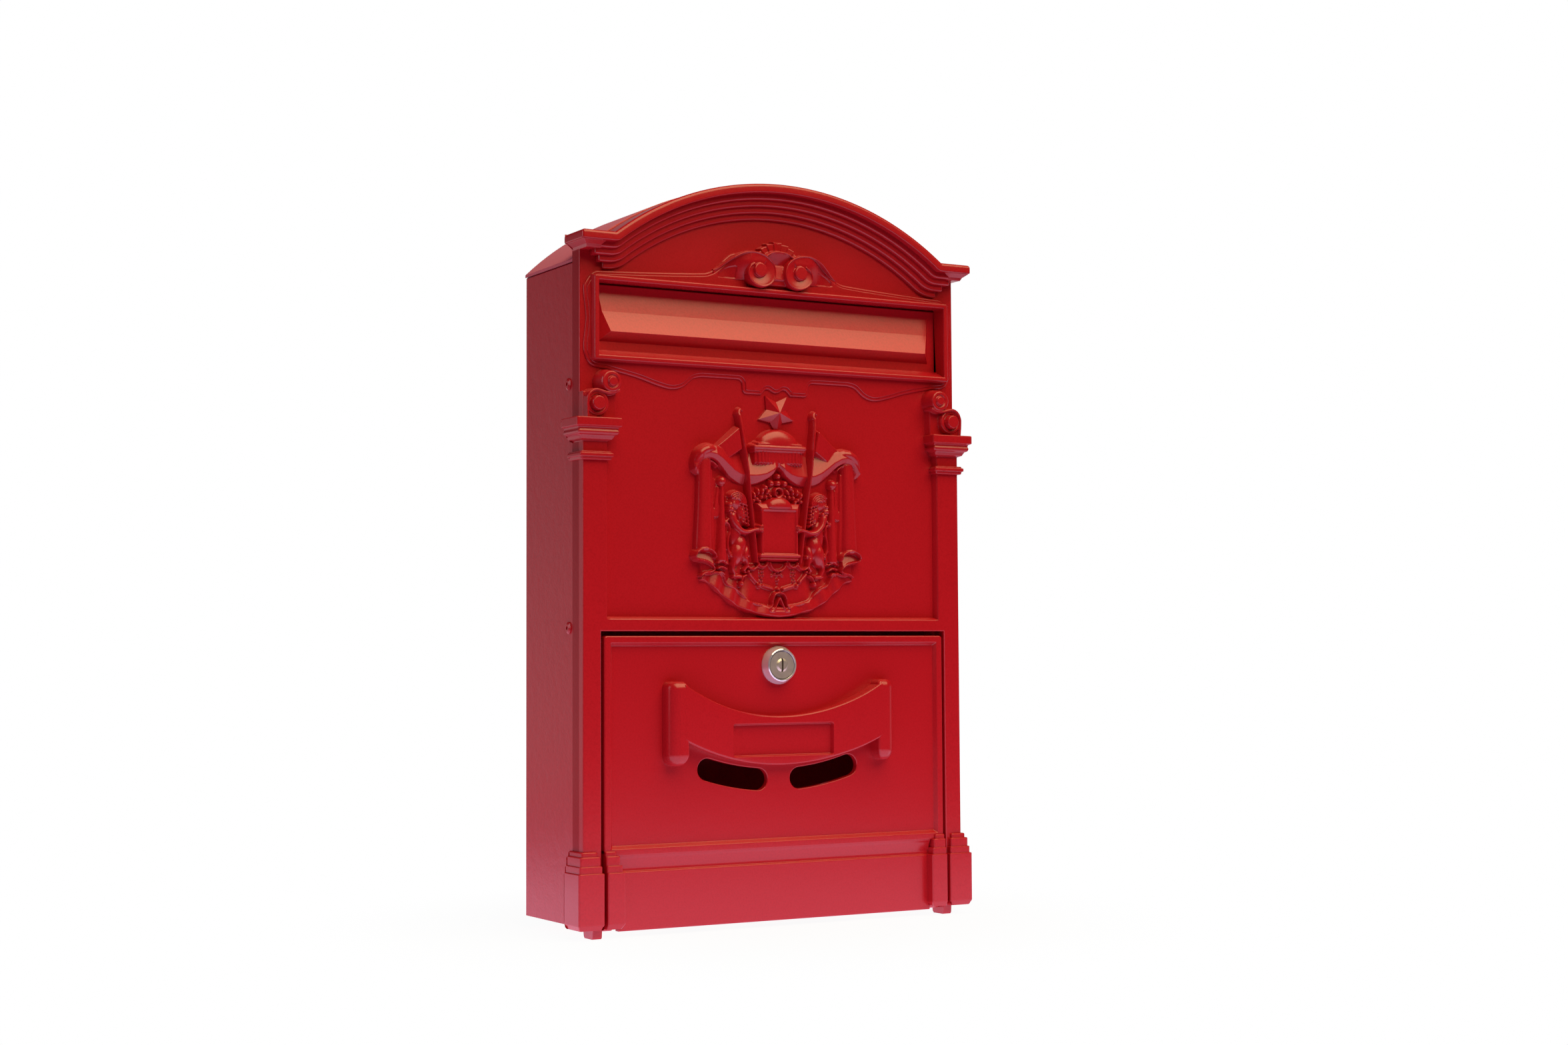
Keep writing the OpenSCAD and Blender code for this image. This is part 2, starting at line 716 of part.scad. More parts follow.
module jamb()
  relief(-cast_t + 0.5, rim_d - 1) difference() {
    translate([-opening_x - 2, foot_h]) square([2 * opening_x + 4, opening_t + 2 - foot_h]);
    opening_outline();
  }

module opening_outline()
  translate([-opening_x, -1]) square([2 * opening_x, opening_t + 1]);

module front_casting()
  color(red) difference() {
    union() {
      difference() {
        union() {
          relief(0, cast_t) face_outline();
          relief(0, rim_d) difference() {
            face_outline();
            face_outline(cast_t);
          }
          cornice();
          both() pilaster();
          across(2 * pilaster_x + 2) polygon([
            [0.5, opening_t - 1], [-pilaster_p, opening_t - 1], [-pilaster_p, panel_z - bevel_w],
            [0, panel_z], [0.5, panel_z]
          ]);
          cartouche();
          bead();
          both() base_block();
        }
        relief(2 * cornice_p, 2 * rim_d) opening_outline();
        relief(2 * cornice_p, 2 * rim_d) slot_outline();
        cornice_core();
        both() base_block_core();
      }
      throat();
      jamb();
      crest();
      both() capital();
      both() capital_volute();
      ornament();
      both() hinge_lug();
      both() rivet_lug(rivet_z);
      both() rivet_lug(upper_rivet_z);
      both() rod_lug();
      both() door_stop();
    }
    bar(-half_w, half_w, rod_d, rod_z, rod_r + press_gap);
    both() bar(lug_x - 1, lug_x + lug_t + 1, hinge_d, hinge_z, pin_r + press_gap);
  }

// door, in face coordinates

module door_block() {
  steps = block_steps(block_p);
  inner = [for (s = steps) [door_x - door_block_w + (block_p - s[1]) * 1.4, foot_h + s[0]]];
  intersection() {
    relief(2 * cornice_p, door_d) polygon(concat(
      [[door_x, foot_h + 0.9]], [[door_x - 0.9, foot_h]], inner,
      [[door_x, foot_h + block_h + 11.2]]
    ));
    translate([half_w, 0, 0]) across(2 * half_w)
      polygon(concat(
        [for (s = steps) [-pilaster_p - s[1], foot_h + s[0]]],
        [[door_d, foot_h + block_h + 11.2], [door_d, foot_h]]
      ));
  }
}

module banner() {
  relief(banner_p, 0) difference() {
    intersection() {
      translate([0, banner_mid]) circle(banner_low_r, $fn = arch_fn);
      translate([-roll_x, banner_b - 1]) square([2 * roll_x, 60]);
    }
    translate([0, banner_t + banner_top_r]) circle(banner_top_r, $fn = arch_fn);
  }
  both() translate([roll_x, face_y + roll_r - banner_p - 3.9, roll_b + roll_r]) intersection() {
    union() {
      cylinder(roll_t - roll_b - 2 * roll_r, roll_r, roll_r, $fn = round_fn);
      sphere(roll_r, $fn = round_fn);
      translate([0, 0, roll_t - roll_b - 2 * roll_r]) sphere(roll_r, $fn = round_fn);
    }
    translate([-roll_r, -roll_r, -roll_r]) cube([2 * roll_r, banner_p + 3.9, roll_t - roll_b]);
  }
}

module view_slot()
  relief(2 * cornice_p, 2 * rim_d) {
    intersection() {
      translate([0, banner_mid]) difference() {
        circle(view_r + view_w / 2, $fn = arch_fn);
        circle(view_r - view_w / 2, $fn = arch_fn);
      }
      translate([0, banner_mid]) polygon([
        [0, 0], 2 * view_r * [sin(view_a1), -cos(view_a1)], 2 * view_r * [sin(view_a2), -cos(view_a2)]
      ]);
    }
    for (a = [view_a1, view_a2])
      translate([view_r * sin(a), banner_mid - view_r * cos(a)]) circle(view_w / 2, $fn = round_fn);
  }

module door_casting()
  color(red) difference() {
    union() {
      difference() {
        union() {
          relief(border_p, door_rim_d) translate([-door_x, rail_b]) square([2 * door_x, door_t - rail_b]);
          across(2 * door_x) polygon([
            [-plinth_p + 0.8, door_b], [-plinth_p, door_b + 0.8], [-plinth_p, door_b + plinth_h - 0.8],
            [-plinth_p + 0.8, door_b + plinth_h], [-plinth_p + 1.2, door_b + plinth_h + 1.6],
            [-border_p + 0.6, rail_b - 0.5], [-border_p, rail_b], [door_d, rail_b + 1], [door_d, door_b]
          ]);
          both() door_block();
        }
        // sloping sides of the field
        hipped(2 * field_x, field_b - 2.2, field_t, -border_p, -field_p, 1.7);
        translate([-field_x, face_y - border_p - cut, field_b - 2.2])
          cube([2 * field_x, cut, field_t - field_b + 2.2]);
        // hollow back inside the rim
        relief(-door_d, door_rim_d + cut)
          translate([-door_x + 2.5, rail_b - 3]) square([2 * door_x - 5, door_t - rail_b + 0.5]);
        // hollow base blocks
        both() translate([door_x - door_block_w + cast_t, face_y - pilaster_p - block_p + cast_t, door_b + 12])
          cube([door_block_w - 2 * cast_t + 1, block_p + pilaster_p, block_h - 12 - cast_t]);
      }
      banner();
      both() bar(door_x - knuckle_l, door_x, hinge_d, hinge_z, knuckle_r);
      both() translate([door_x - knuckle_l, face_y - 1, hinge_z - 1.5])
        cube([knuckle_l, hinge_d + 1 - pin_r - 0.5, knuckle_r + 1.5]);
    }
    hipped(plate_w, banner_b + 5, banner_b + 5 + plate_h, -banner_p - cut, -banner_p + 2.7, 0.9);
    both() view_slot();
    disc(0, lock_z, 2 * cornice_p, 2 * rim_d, barrel_r + 0.1);
    both() bar(door_x - knuckle_l - 1, door_x + 1, hinge_d, hinge_z, pin_r + run_gap);
  }

// flap that hangs behind the throat, with a pressed bulge
module slot_flap()
  color(red) difference() {
    union() {
      relief(-flap_d, flap_d + flap_t)
        translate([-flap_x, flap_b]) square([2 * flap_x, slot_t - 1 - flap_b]);
      intersection() {
        translate([0, face_y, 0]) linear_extrude(case_h) polygon([
          [-slot_x + 4, flap_d + 0.5], [slot_x - 4, flap_d + 0.5],
          [slot_x - 4 - bulge_p, flap_d - bulge_p], [-slot_x + 4 + bulge_p, flap_d - bulge_p]
        ]);
        across(2 * slot_x) bulge_profile(0);
      }
      across(2 * flap_x) polygon([
        [flap_d, slot_t - 4], [flap_d + flap_t, slot_t - 4], [rod_d, rod_z - rod_r], [rod_d, rod_z + eye_r],
        [rod_d - 1, rod_z + eye_r - 0.2], [flap_d, slot_t - 1]
      ]);
      bar(-flap_x, flap_x, rod_d, rod_z, eye_r);
    }
    intersection() {
      translate([0, face_y, 0]) linear_extrude(case_h) polygon([
        [-slot_x + 4 + flap_t, 2 * rim_d], [slot_x - 4 - flap_t, 2 * rim_d], [slot_x - 4 - flap_t, flap_d],
        [slot_x - 4 - bulge_p, flap_d - bulge_p + flap_t], [-slot_x + 4 + bulge_p, flap_d - bulge_p + flap_t],
        [-slot_x + 4 + flap_t, flap_d]
      ]);
      across(2 * slot_x) bulge_profile(flap_t);
    }
    bar(-flap_x - 1, flap_x + 1, rod_d, rod_z, rod_r + run_gap);
  }

// side profile of the bulge, moved in by t
module bulge_profile(t)
  polygon([
    [flap_d + flap_t + (t > 0 ? cut : -0.5), slot_t - 5 - t], [flap_d, slot_t - 5 - t],
    [flap_d - 1.6 + t * 0.8, ridge_z + 11.2 - t / 2], [flap_d - bulge_p + t * 1.2, ridge_z],
    [flap_d, ridge_z - 5 + t / 2], [flap_d + flap_t + (t > 0 ? cut : -0.5), ridge_z - 5 + t / 2]
  ]);

module flap_rod()
  color(steel) bar(-half_w + sheet_t + 0.4, half_w - sheet_t - 0.4, rod_d, rod_z, rod_r);

module rod_clips()
  color(steel) both() difference() {
    bar(half_w - cast_t, half_w - cast_t + 0.7, rod_d, rod_z, rod_r + 1.5);
    bar(half_w - cast_t - 1, half_w, rod_d, rod_z, rod_r + press_gap);
  }

// folded body

// a U in plan: two sides and the back with round folds
module wrap_plan(grow, r) {
  difference() {
    translate([-half_w + grow, face_y + rim_d]) square([2 * (half_w - grow), rear_d - rim_d - grow]);
    for (s = [-1, 1])
      translate([s * (half_w - grow - r / 2), face_y + rear_d - grow - r / 2]) square(r + 0.001, center = true);
  }
  for (s = [-1, 1])
    translate([s * (half_w - grow - r), face_y + rear_d - grow - r]) circle(r, $fn = round_fn);
}

module body_wrap()
  color(red) difference() {
    translate([0, 0, sheet_z]) linear_extrude(case_h) difference() {
      wrap_plan(0, fold_r);
      wrap_plan(sheet_t, fold_r - sheet_t);
      translate([-half_w + sheet_t, face_y]) square([2 * (half_w - sheet_t), rim_d + 1]);
    }
    // arched top edge
    translate([0, 0, arch_z]) difference() {
      translate([-case_w, -case_d, 0]) cube([2 * case_w, 2 * case_d, 2 * arch_r]);
      translate([0, -case_d, 0]) rotate([-90, 0, 0])
        cylinder(2 * case_d, arch_r - sheet_t, arch_r - sheet_t, $fn = arch_fn);
    }
    both() for (z = [rivet_z, upper_rivet_z])
      bar(half_w - 2 * sheet_t, half_w + 1, rivet_d, z, rivet_r + press_gap);
    for (sx = [-1, 1], z = [wall_hole_low, wall_hole_low + wall_hole_z])
      translate([sx * wall_hole_x / 2, face_y + rear_d - 4, z]) rotate([-90, 0, 0])
        cylinder(8, wall_hole_r, wall_hole_r, $fn = round_fn);
  }

module roof_sheet() {
  edge_z = arch_z + sqrt(pow(arch_r, 2) - pow(half_w, 2));
  color(red) {
    relief(-rim_d, rear_d) intersection() {
      translate([0, arch_z]) difference() {
        circle(arch_r + 0.6, $fn = arch_fn);
        circle(arch_r + 0.6 - sheet_t, $fn = arch_fn);
      }
      translate([-half_w, arch_z]) square([2 * half_w, 2 * arch_r]);
    }
    both() translate([half_w - 2 * sheet_t, face_y + rim_d + 10, edge_z - flange_h])
      cube([sheet_t, rear_d - rim_d - 20, flange_h + 1]);
  }
}

module bottom_sheet() {
  x = half_w - sheet_t;
  y0 = face_y + rim_d + 3;
  l = rear_d - rim_d - 3 - sheet_t;
  color(red) {
    translate([-x, y0, sheet_z]) cube([2 * x, l, sheet_t]);
    both() translate([x - sheet_t, y0, sheet_z]) cube([sheet_t, l - fold_r, flange_h]);
    translate([-x, y0, sheet_z]) cube([2 * x, sheet_t, flange_h / 2]);
    translate([-x + fold_r, y0 + l - sheet_t, sheet_z]) cube([2 * (x - fold_r), sheet_t, flange_h]);
  }
}

// domed rivets through the sides
module side_rivets()
  color(red) both() for (z = [rivet_z, upper_rivet_z])
    translate([half_w, face_y + rivet_d, z]) rotate([0, 90, 0]) difference() {
      union() {
        cylinder(0.5, rivet_head_r, rivet_head_r, $fn = round_fn);
        translate([0, 0, 0.5]) cylinder(0.8, rivet_head_r, rivet_head_r - 1.2, $fn = round_fn);
        translate([0, 0, -sheet_t - rivet_lug_t - 1])
          cylinder(sheet_t + rivet_lug_t + 1.1, rivet_r, rivet_r, $fn = round_fn);
        translate([0, 0, -sheet_t - rivet_lug_t - 2.4]) cylinder(2.4, 2.4, 2.4, $fn = round_fn);
      }
      translate([0, 0, 0.6]) cylinder(2, 1, 1, $fn = round_fn);
    }

module hinge_pins()
  color(steel) both() bar(door_x - knuckle_l + 0.5, lug_x + lug_t, hinge_d, hinge_z, pin_r);

// cam lock, turned about an axis through the door's field

module on_lock() translate([0, face_y + field_d, lock_z]) rotate([90, 0, 0]) children();

module lock_bezel()
  color(chrome) on_lock() rotate_extrude($fn = round_fn)
    polygon([
      [barrel_r + 0.1, 0], [bezel_r, 0], [bezel_r, 0.8], [bezel_r - 1.6, bezel_p - 0.4],
      [bezel_r - 2.1, bezel_p], [head_r + 0.6, bezel_p], [head_r + 0.4, bezel_p - 0.5],
      [head_r + 0.4, bezel_p - 1.4], [bezel_r - 2.2, bezel_p - 1.4], [bezel_r - 1.1, 0.6], [barrel_r + 0.1, 0.6]
    ]);

module lock_housing()
  color(chrome) on_lock() difference() {
    union() {
      translate([0, 0, -field_p - door_d - barrel_l])
        cylinder(field_p + door_d + barrel_l + 0.7, barrel_r, barrel_r, $fn = round_fn);
      translate([0, 0, 0.65]) cylinder(bezel_p - 2.4, bezel_r - 1.5, bezel_r - 2.4, $fn = round_fn);
    }
    translate([0, 0, bezel_p - 2.4]) cylinder(3, head_r + run_gap, head_r + run_gap, $fn = round_fn);
    translate([0, 0, -2 * rim_d]) cylinder(3 * rim_d, plug_r + run_gap, plug_r + run_gap, $fn = round_fn);
  }

module lock_plug()
  color(steel) on_lock() difference() {
    union() {
      translate([0, 0, bezel_p - 2.1]) cylinder(1.5, head_r, head_r, $fn = round_fn);
      translate([0, 0, bezel_p - 0.6]) cylinder(0.6, 3.7, 2.6, $fn = round_fn);
      translate([0, 0, -field_p - cam_d + 1]) cylinder(cam_d + field_p + bezel_p - 3, plug_r, plug_r, $fn = round_fn);
      translate([-square_w / 2, -square_w / 2, -field_p - cam_d - cam_t])
        cube([square_w, square_w, cam_t + 1.1]);
    }
    // key way
    translate([-0.6, -3.7, bezel_p - 5]) cube([1.2, 7.4, 6]);
    // wafer slots
    for (i = [0 : wafer_n - 1])
      translate([-2.6, -plug_r - 1, -i * wafer_pitch - 2]) cube([5.2, 2 * plug_r + 2, wafer_t + 0.2]);
    translate([0, 0, -field_p - cam_d - cam_t - 1]) cylinder(6, 1.6, 1.6, $fn = round_fn);
  }

module lock_wafers()
  color("goldenrod") on_lock() for (i = [0 : wafer_n - 1])
    translate([-2.5, -plug_r + 0.6, -i * wafer_pitch - 1.9]) difference() {
      cube([5, 2 * plug_r - 1.2, wafer_t]);
      translate([1.3, 1.6, -1]) cube([2.4, 2 * plug_r - 4.4, 3]);
    }

module lock_washer()
  color(steel) on_lock() translate([0, 0, -field_p - door_d - lockwasher_t]) difference() {
    cylinder(lockwasher_t, nut_flats / 2 + 1, nut_flats / 2 + 1, $fn = round_fn);
    translate([0, 0, -1]) cylinder(3, barrel_r + 0.1, barrel_r + 0.1, $fn = round_fn);
  }

module lock_nut()
  color(steel) on_lock() translate([0, 0, -field_p - door_d - lockwasher_t - nut_h]) difference() {
    cylinder(nut_h, nut_flats / sqrt(3), nut_flats / sqrt(3), $fn = 6);
    translate([0, 0, -1]) cylinder(nut_h + 2, barrel_r + press_gap, barrel_r + press_gap, $fn = round_fn);
  }

// a plate with the square hole that the plug drives
module cam_plate()
  difference() {
    children();
    translate([-square_w / 2 - 0.05, -square_w / 2 - 0.05, -1]) cube([square_w + 0.1, square_w + 0.1, 5]);
  }

module cam_washer()
  color(steel) on_lock() translate([0, 0, -field_p - cam_d]) cam_plate()
    cylinder(1, plug_r + 1.4, plug_r + 1.4, $fn = round_fn);

// drawn with the lock open, so that the cam lies sideways
module lock_cam()
  color(steel) on_lock() translate([0, 0, -field_p - cam_d - cam_t]) cam_plate() {
    cylinder(cam_t, cam_w / 2, cam_w / 2, $fn = round_fn);
    translate([0, -cam_w / 2, 0]) cube([cam_l - cam_w / 2, cam_w, cam_t]);
    translate([cam_l - cam_w / 2, 0, 0]) cylinder(cam_t, cam_w / 2, cam_w / 2, $fn = round_fn);
  }

module cam_screw()
  color(steel) on_lock() translate([0, 0, -field_p - cam_d - cam_t]) {
    translate([0, 0, -2]) difference() {
      cylinder(2, 4, 4, $fn = round_fn);
      translate([-4.5, -0.4, -0.5]) cube([9, 0.8, 1.2]);
    }
    cylinder(3.5, 1.55, 1.55, $fn = round_fn);
  }

front_casting();
door_casting();
slot_flap();
flap_rod();
rod_clips();
body_wrap();
roof_sheet();
bottom_sheet();
side_rivets();
hinge_pins();
lock_bezel();
lock_housing();
lock_plug();
lock_wafers();
lock_washer();
lock_nut();
cam_washer();
lock_cam();
cam_screw();
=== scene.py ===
import math

import bpy
import numpy as np
from mathutils import Matrix, Vector
from mathutils.geometry import tessellate_polygon


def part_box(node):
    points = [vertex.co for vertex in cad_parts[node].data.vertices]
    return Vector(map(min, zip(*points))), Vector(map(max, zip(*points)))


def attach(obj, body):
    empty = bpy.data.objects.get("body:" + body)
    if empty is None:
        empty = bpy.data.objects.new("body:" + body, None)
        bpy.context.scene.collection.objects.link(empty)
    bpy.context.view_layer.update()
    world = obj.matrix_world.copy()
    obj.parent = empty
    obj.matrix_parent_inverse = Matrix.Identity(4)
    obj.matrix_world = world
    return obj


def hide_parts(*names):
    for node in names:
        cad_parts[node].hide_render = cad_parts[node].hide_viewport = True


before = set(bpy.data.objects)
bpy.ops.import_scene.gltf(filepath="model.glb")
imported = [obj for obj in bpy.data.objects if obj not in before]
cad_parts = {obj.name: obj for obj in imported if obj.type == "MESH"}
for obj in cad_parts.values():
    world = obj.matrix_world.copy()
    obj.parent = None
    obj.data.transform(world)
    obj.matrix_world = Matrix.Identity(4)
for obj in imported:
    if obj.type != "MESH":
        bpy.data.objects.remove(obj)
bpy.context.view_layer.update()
mm = 0.001

# Lengths are in millimetres. x runs to the right, p stands in front of the main face and z runs up.
frontLow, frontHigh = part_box("front_casting")
wrapLow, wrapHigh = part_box("body_wrap")
doorLow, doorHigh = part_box("door_casting")

case = {
    "faceY": frontLow.y / mm + 13.6,  # main face, behind the cornice's front
    "halfWidth": wrapHigh.x / mm,
    "archTop": frontHigh.z / mm,
    "archRadius": 172.0,
    "levelDrop": 35.3,  # from the arch's top to the level ends
    "feet": 5.3,
    "rimDepth": 9.0,
    "plate": 3.0,
}
case["archCentre"] = case["archTop"] - case["archRadius"]
case["levelEnd"] = case["archTop"] - case["levelDrop"]


# Face coordinates as points of the frame.
def toFrame(x, p, z):
    x, p, z = np.broadcast_arrays(x, p, z)
    return np.stack([x, case["faceY"] - p, z], -1).astype(float)


# outlines and profiles

# A polyline whose corners become arcs: each arc is tangent to both sides of its corner.
def filleted(points, radii, steps=5, closed=True):
    pts = np.asarray(points, float)
    n = len(pts)
    radii = np.broadcast_to(np.asarray(radii, float), n)
    out = []
    for i in range(n):
        here = pts[i]
        if radii[i] <= 0 or (not closed and i in (0, n - 1)):
            out.append(here)
            continue
        a, b = pts[i - 1] - here, pts[(i + 1) % n] - here
        la, lb = np.linalg.norm(a), np.linalg.norm(b)
        a, b = a / la, b / lb
        half = math.acos(np.clip(a @ b, -1, 1)) / 2
        if half > math.pi / 2 - 0.02:
            out.append(here)
            continue
        reach = min(radii[i] / math.tan(half), 0.48 * la, 0.48 * lb)
        r = reach * math.tan(half)
        mid = (a + b) / np.linalg.norm(a + b)
        centre = here + mid * (r / math.sin(half))
        start, end = here + a * reach - centre, here + b * reach - centre
        sweep = math.atan2(start[0] * end[1] - start[1] * end[0], start @ end)
        for t in np.linspace(0, sweep, steps):
            c, s = math.cos(t), math.sin(t)
            out.append(centre + [c * start[0] - s * start[1], s * start[0] + c * start[1]])
    return np.array(out)


# A curve through points: Catmull-Rom pieces with steps samples each.
def smoothLine(points, steps, closed=False):
    pts = np.asarray(points, float)
    if closed:
        pts = np.vstack([pts[-1:], pts, pts[:2]])
    else:
        pts = np.vstack([2 * pts[0] - pts[1], pts, 2 * pts[-1] - pts[-2]])
    t = np.arange(steps)[:, None] / steps
    a, b, c, d = pts[:-3, None], pts[1:-2, None], pts[2:-1, None], pts[3:, None]
    curve = 0.5 * (2 * b + (c - a) * t + (2 * a - 5 * b + 4 * c - d) * t ** 2
                   + (3 * b - a - 3 * c + d) * t ** 3)
    curve = curve.reshape(-1, 2)
    return curve if closed else np.vstack([curve, pts[-2]])


# Points on an arc about (cx, cz), from angle start to angle end in degrees.
def arcLine(cx, cz, r, start, end, steps):
    t = np.radians(np.linspace(start, end, steps))
    return np.stack([cx + r * np.cos(t), cz + r * np.sin(t)], 1)


# An outline mirrored to the other side, still counter-clockwise.
def flipped(points):
    return np.asarray(points, float)[::-1] * [-1, 1]


# A closed outline from its right half and that half's mirror image.
def mirrored(half):
    half = np.asarray(half, float)
    return np.vstack([half, flipped(half)])


# Whether a loop runs counter-clockwise: the sum of its cross products is positive.
def turnsLeft(loop):
    x, z = loop[:, 0], loop[:, 1]
    return np.sum(x * np.roll(z, -1) - np.roll(x, -1) * z) > 0


# Mitred normals of a closed outline. They point away from the material on the loop's left.
def awayFrom(loop):
    side = np.roll(loop, -1, 0) - loop
    side /= np.maximum(np.linalg.norm(side, axis=1, keepdims=True), 1e-9)
    normal = np.stack([side[:, 1], -side[:, 0]], 1)
    both = normal + np.roll(normal, 1, 0)
    both /= np.maximum(np.linalg.norm(both, axis=1, keepdims=True), 1e-9)
    lean = np.clip(np.sum(both * normal, 1, keepdims=True), 0.5, 1)
    return both / lean


# Edge profile as (inset, depth) pairs: straight up from the back, then a quarter round.
def roundEdge(front, back, edge, steps=5):
    t = np.linspace(0, math.pi / 2, steps)
    pairs = [(0, back)] + [(edge * (1 - math.cos(a)), front - edge * (1 - math.sin(a))) for a in t]
    return np.array(pairs)


# solids as (vertices, quads, triangles)

# Quads between neighbouring rows of a grid of numbers whose rows are closed loops.
def wallQuads(index):
    after = np.roll(index, -1, 1)
    return np.stack([index[:-1], after[:-1], after[1:], index[1:]], -1).reshape(-1, 4)


# A closed solid from stacks of loops: walls join a stack's loops, flat caps close its two ends.
def stackSolid(stacks):
    verts, quads, tris, base = [], [], [], 0
    starts = []
    for rows in stacks:
        k, m = rows.shape[:2]
        index = base + np.arange(k * m).reshape(k, m)
        quads.append(wallQuads(index))
        verts.append(rows.reshape(-1, 3))
        starts.append((index[0], index[-1]))
        base += k * m
    verts = np.vstack(verts)
    for end in (0, 1):
        loops = [s[end] for s in starts]
        order = np.concatenate(loops)
        cap = tessellate_polygon([[Vector(verts[i]) for i in loop] for loop in loops])
        cap = order[np.array(cap, int).reshape(-1, 3)]
        tris.append(capTurned(verts, cap, quads[0], end))
    return verts, np.vstack(quads), np.vstack(tris)


# Turns a cap's triangles so that they meet the first stack's walls with the right winding.
def capTurned(verts, cap, walls, end):
    edges = set()
    for a, b, c, d in walls:
        edges.update(((a, b), (b, c), (c, d), (d, a)))
    same = 0
    for a, b, c in cap:
        same += sum(e in edges for e in ((a, b), (b, c), (c, a)))
        same -= sum(e in edges for e in ((b, a), (c, b), (a, c)))
    return cap[:, ::-1] if same > 0 else cap


# A flat plate with rounded front edges. The first outline is its rim, the others are holes.
def plate(loops, front, back, edge, steps=5):
    edges = edge if isinstance(edge, (list, tuple)) else [edge] * len(loops)
    stacks = []
    for i, loop in enumerate(loops):
        loop = np.asarray(loop, float)
        if turnsLeft(loop) != (i == 0):
            loop = loop[::-1]
        normal = awayFrom(loop)
        profile = roundEdge(front, back, edges[i], steps)
        inset, depth = profile[:, 0, None, None], profile[:, 1, None]
        flat = loop - inset * normal
        stacks.append(toFrame(flat[..., 0], depth, flat[..., 1]))
    return stackSolid(stacks)


# A closed profile of (p, z) pairs carried straight across the front.
def across(halfLength, profile):
    p, z = np.asarray(profile, float).T
    x = np.array([-halfLength, halfLength])[:, None]
    return stackSolid([toFrame(x, p, z)])


# A solid mirrored at x = 0, with its faces turned round so that they still look outwards.
def onLeft(part):
    verts, quads, tris = part
    return verts * [-1, 1, 1], quads[:, ::-1], tris[:, ::-1]


# Solids of the right side together with their mirror images.
def onBoth(parts):
    return list(parts) + [onLeft(p) for p in parts]


# Sum of a . (b x c) / 6 over all triangles: negative if the faces look inwards.
def signedVolume(verts, quads, tris):
    every = np.vstack([quads[:, :3], quads[:, [0, 2, 3]], tris])
    a, b, c = verts[every[:, 0]], verts[every[:, 1]], verts[every[:, 2]]
    return np.sum(a * np.cross(b, c)) / 6


# Puts solids into one mesh with foreach_set, faces outwards, and lets it ride on its body.
def makePiece(name, parts, body, material, stands=(), crease=38):
    allVerts, allQuads, allTris, base = [], [], [], 0
    for verts, quads, tris in parts:
        if signedVolume(verts, quads, tris) < 0:
            quads, tris = quads[:, ::-1], tris[:, ::-1]
        allVerts.append(verts)
        allQuads.append(quads + base)
        allTris.append(tris + base)
        base += len(verts)
    verts, quads, tris = np.vstack(allVerts) * mm, np.vstack(allQuads), np.vstack(allTris)
    mesh = bpy.data.meshes.new(name)
    mesh.vertices.add(len(verts))
    mesh.vertices.foreach_set("co", verts.ravel().astype(np.float32))
    mesh.loops.add(quads.size + tris.size)
    mesh.loops.foreach_set("vertex_index", np.concatenate([quads.ravel(), tris.ravel()]).astype(np.int32))
    mesh.polygons.add(len(quads) + len(tris))
    sizes = np.concatenate([np.full(len(quads), 4), np.full(len(tris), 3)])
    mesh.polygons.foreach_set("loop_start", (np.cumsum(sizes) - sizes).astype(np.int32))
    mesh.update(calc_edges=True)
    mesh.validate()
    dressed(bpy.data.objects.new(name, mesh), body, material, stands, crease)


# Finish of a new piece: its shading, its material and the body it rides on.
def dressed(piece, body, material, stands=(), crease=38):
    mesh = piece.data
    bpy.context.scene.collection.objects.link(piece)
    mesh.polygons.foreach_set("use_smooth", np.ones(len(mesh.polygons), bool))
    mesh.set_sharp_from_angle(angle=math.radians(crease))
    mesh.materials.clear()
    mesh.materials.append(material)
    even = piece.modifiers.new("evenNormals", "WEIGHTED_NORMAL")
    even.keep_sharp = True
    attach(piece, body)
    if stands:
        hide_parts(*stands)


# A merged copy of a CAD node's mesh. keep picks its triangles by their corners in face coordinates.
def nodeCopy(node, name, keep=None):
    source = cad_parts[node].data
    co = np.zeros(len(source.vertices) * 3, np.float32)
    source.vertices.foreach_get("co", co)
    co = co.reshape(-1, 3)
    source.calc_loop_triangles()
    tri = np.zeros(len(source.loop_triangles) * 3, np.int32)
    source.loop_triangles.foreach_get("vertices", tri)
    tri = tri.reshape(-1, 3)
    if keep is not None:
        face = np.stack([co[:, 0] / mm, case["faceY"] - co[:, 1] / mm, co[:, 2] / mm], 1)
        tri = tri[keep(face[tri])]
    used, back = np.unique(np.round(co[tri].reshape(-1, 3), 7), axis=0, return_inverse=True)
    mesh = bpy.data.meshes.new(name)
    mesh.from_pydata(used.tolist(), [], back.reshape(-1, 3).tolist())
    mesh.validate()
    return bpy.data.objects.new(name, mesh)


# A copy of a CAD node whose hard edges become narrow rounds.
def softened(node, name, body, material, width, crease=30):
    piece = nodeCopy(node, name)
    flat = piece.modifiers.new("flat", "DECIMATE")
    flat.decimate_type = "DISSOLVE"
    flat.angle_limit = math.radians(1.2)
    rounds = piece.modifiers.new("rounds", "BEVEL")
    rounds.width = width * mm
    rounds.segments = 3
    rounds.limit_method = "ANGLE"
    rounds.angle_limit = math.radians(crease)
    dressed(piece, body, material, (node,), 60)


# materials

# A material with nothing but a Principled shader and its output.
def newMaterial(name):
    material = bpy.data.materials.new(name)
    material.use_nodes = True
    tree = material.node_tree
    tree.nodes.clear()
    out = tree.nodes.new("ShaderNodeOutputMaterial")
    shader = tree.nodes.new("ShaderNodeBsdfPrincipled")
    tree.links.new(shader.outputs[0], out.inputs[0])
    return material, tree, shader


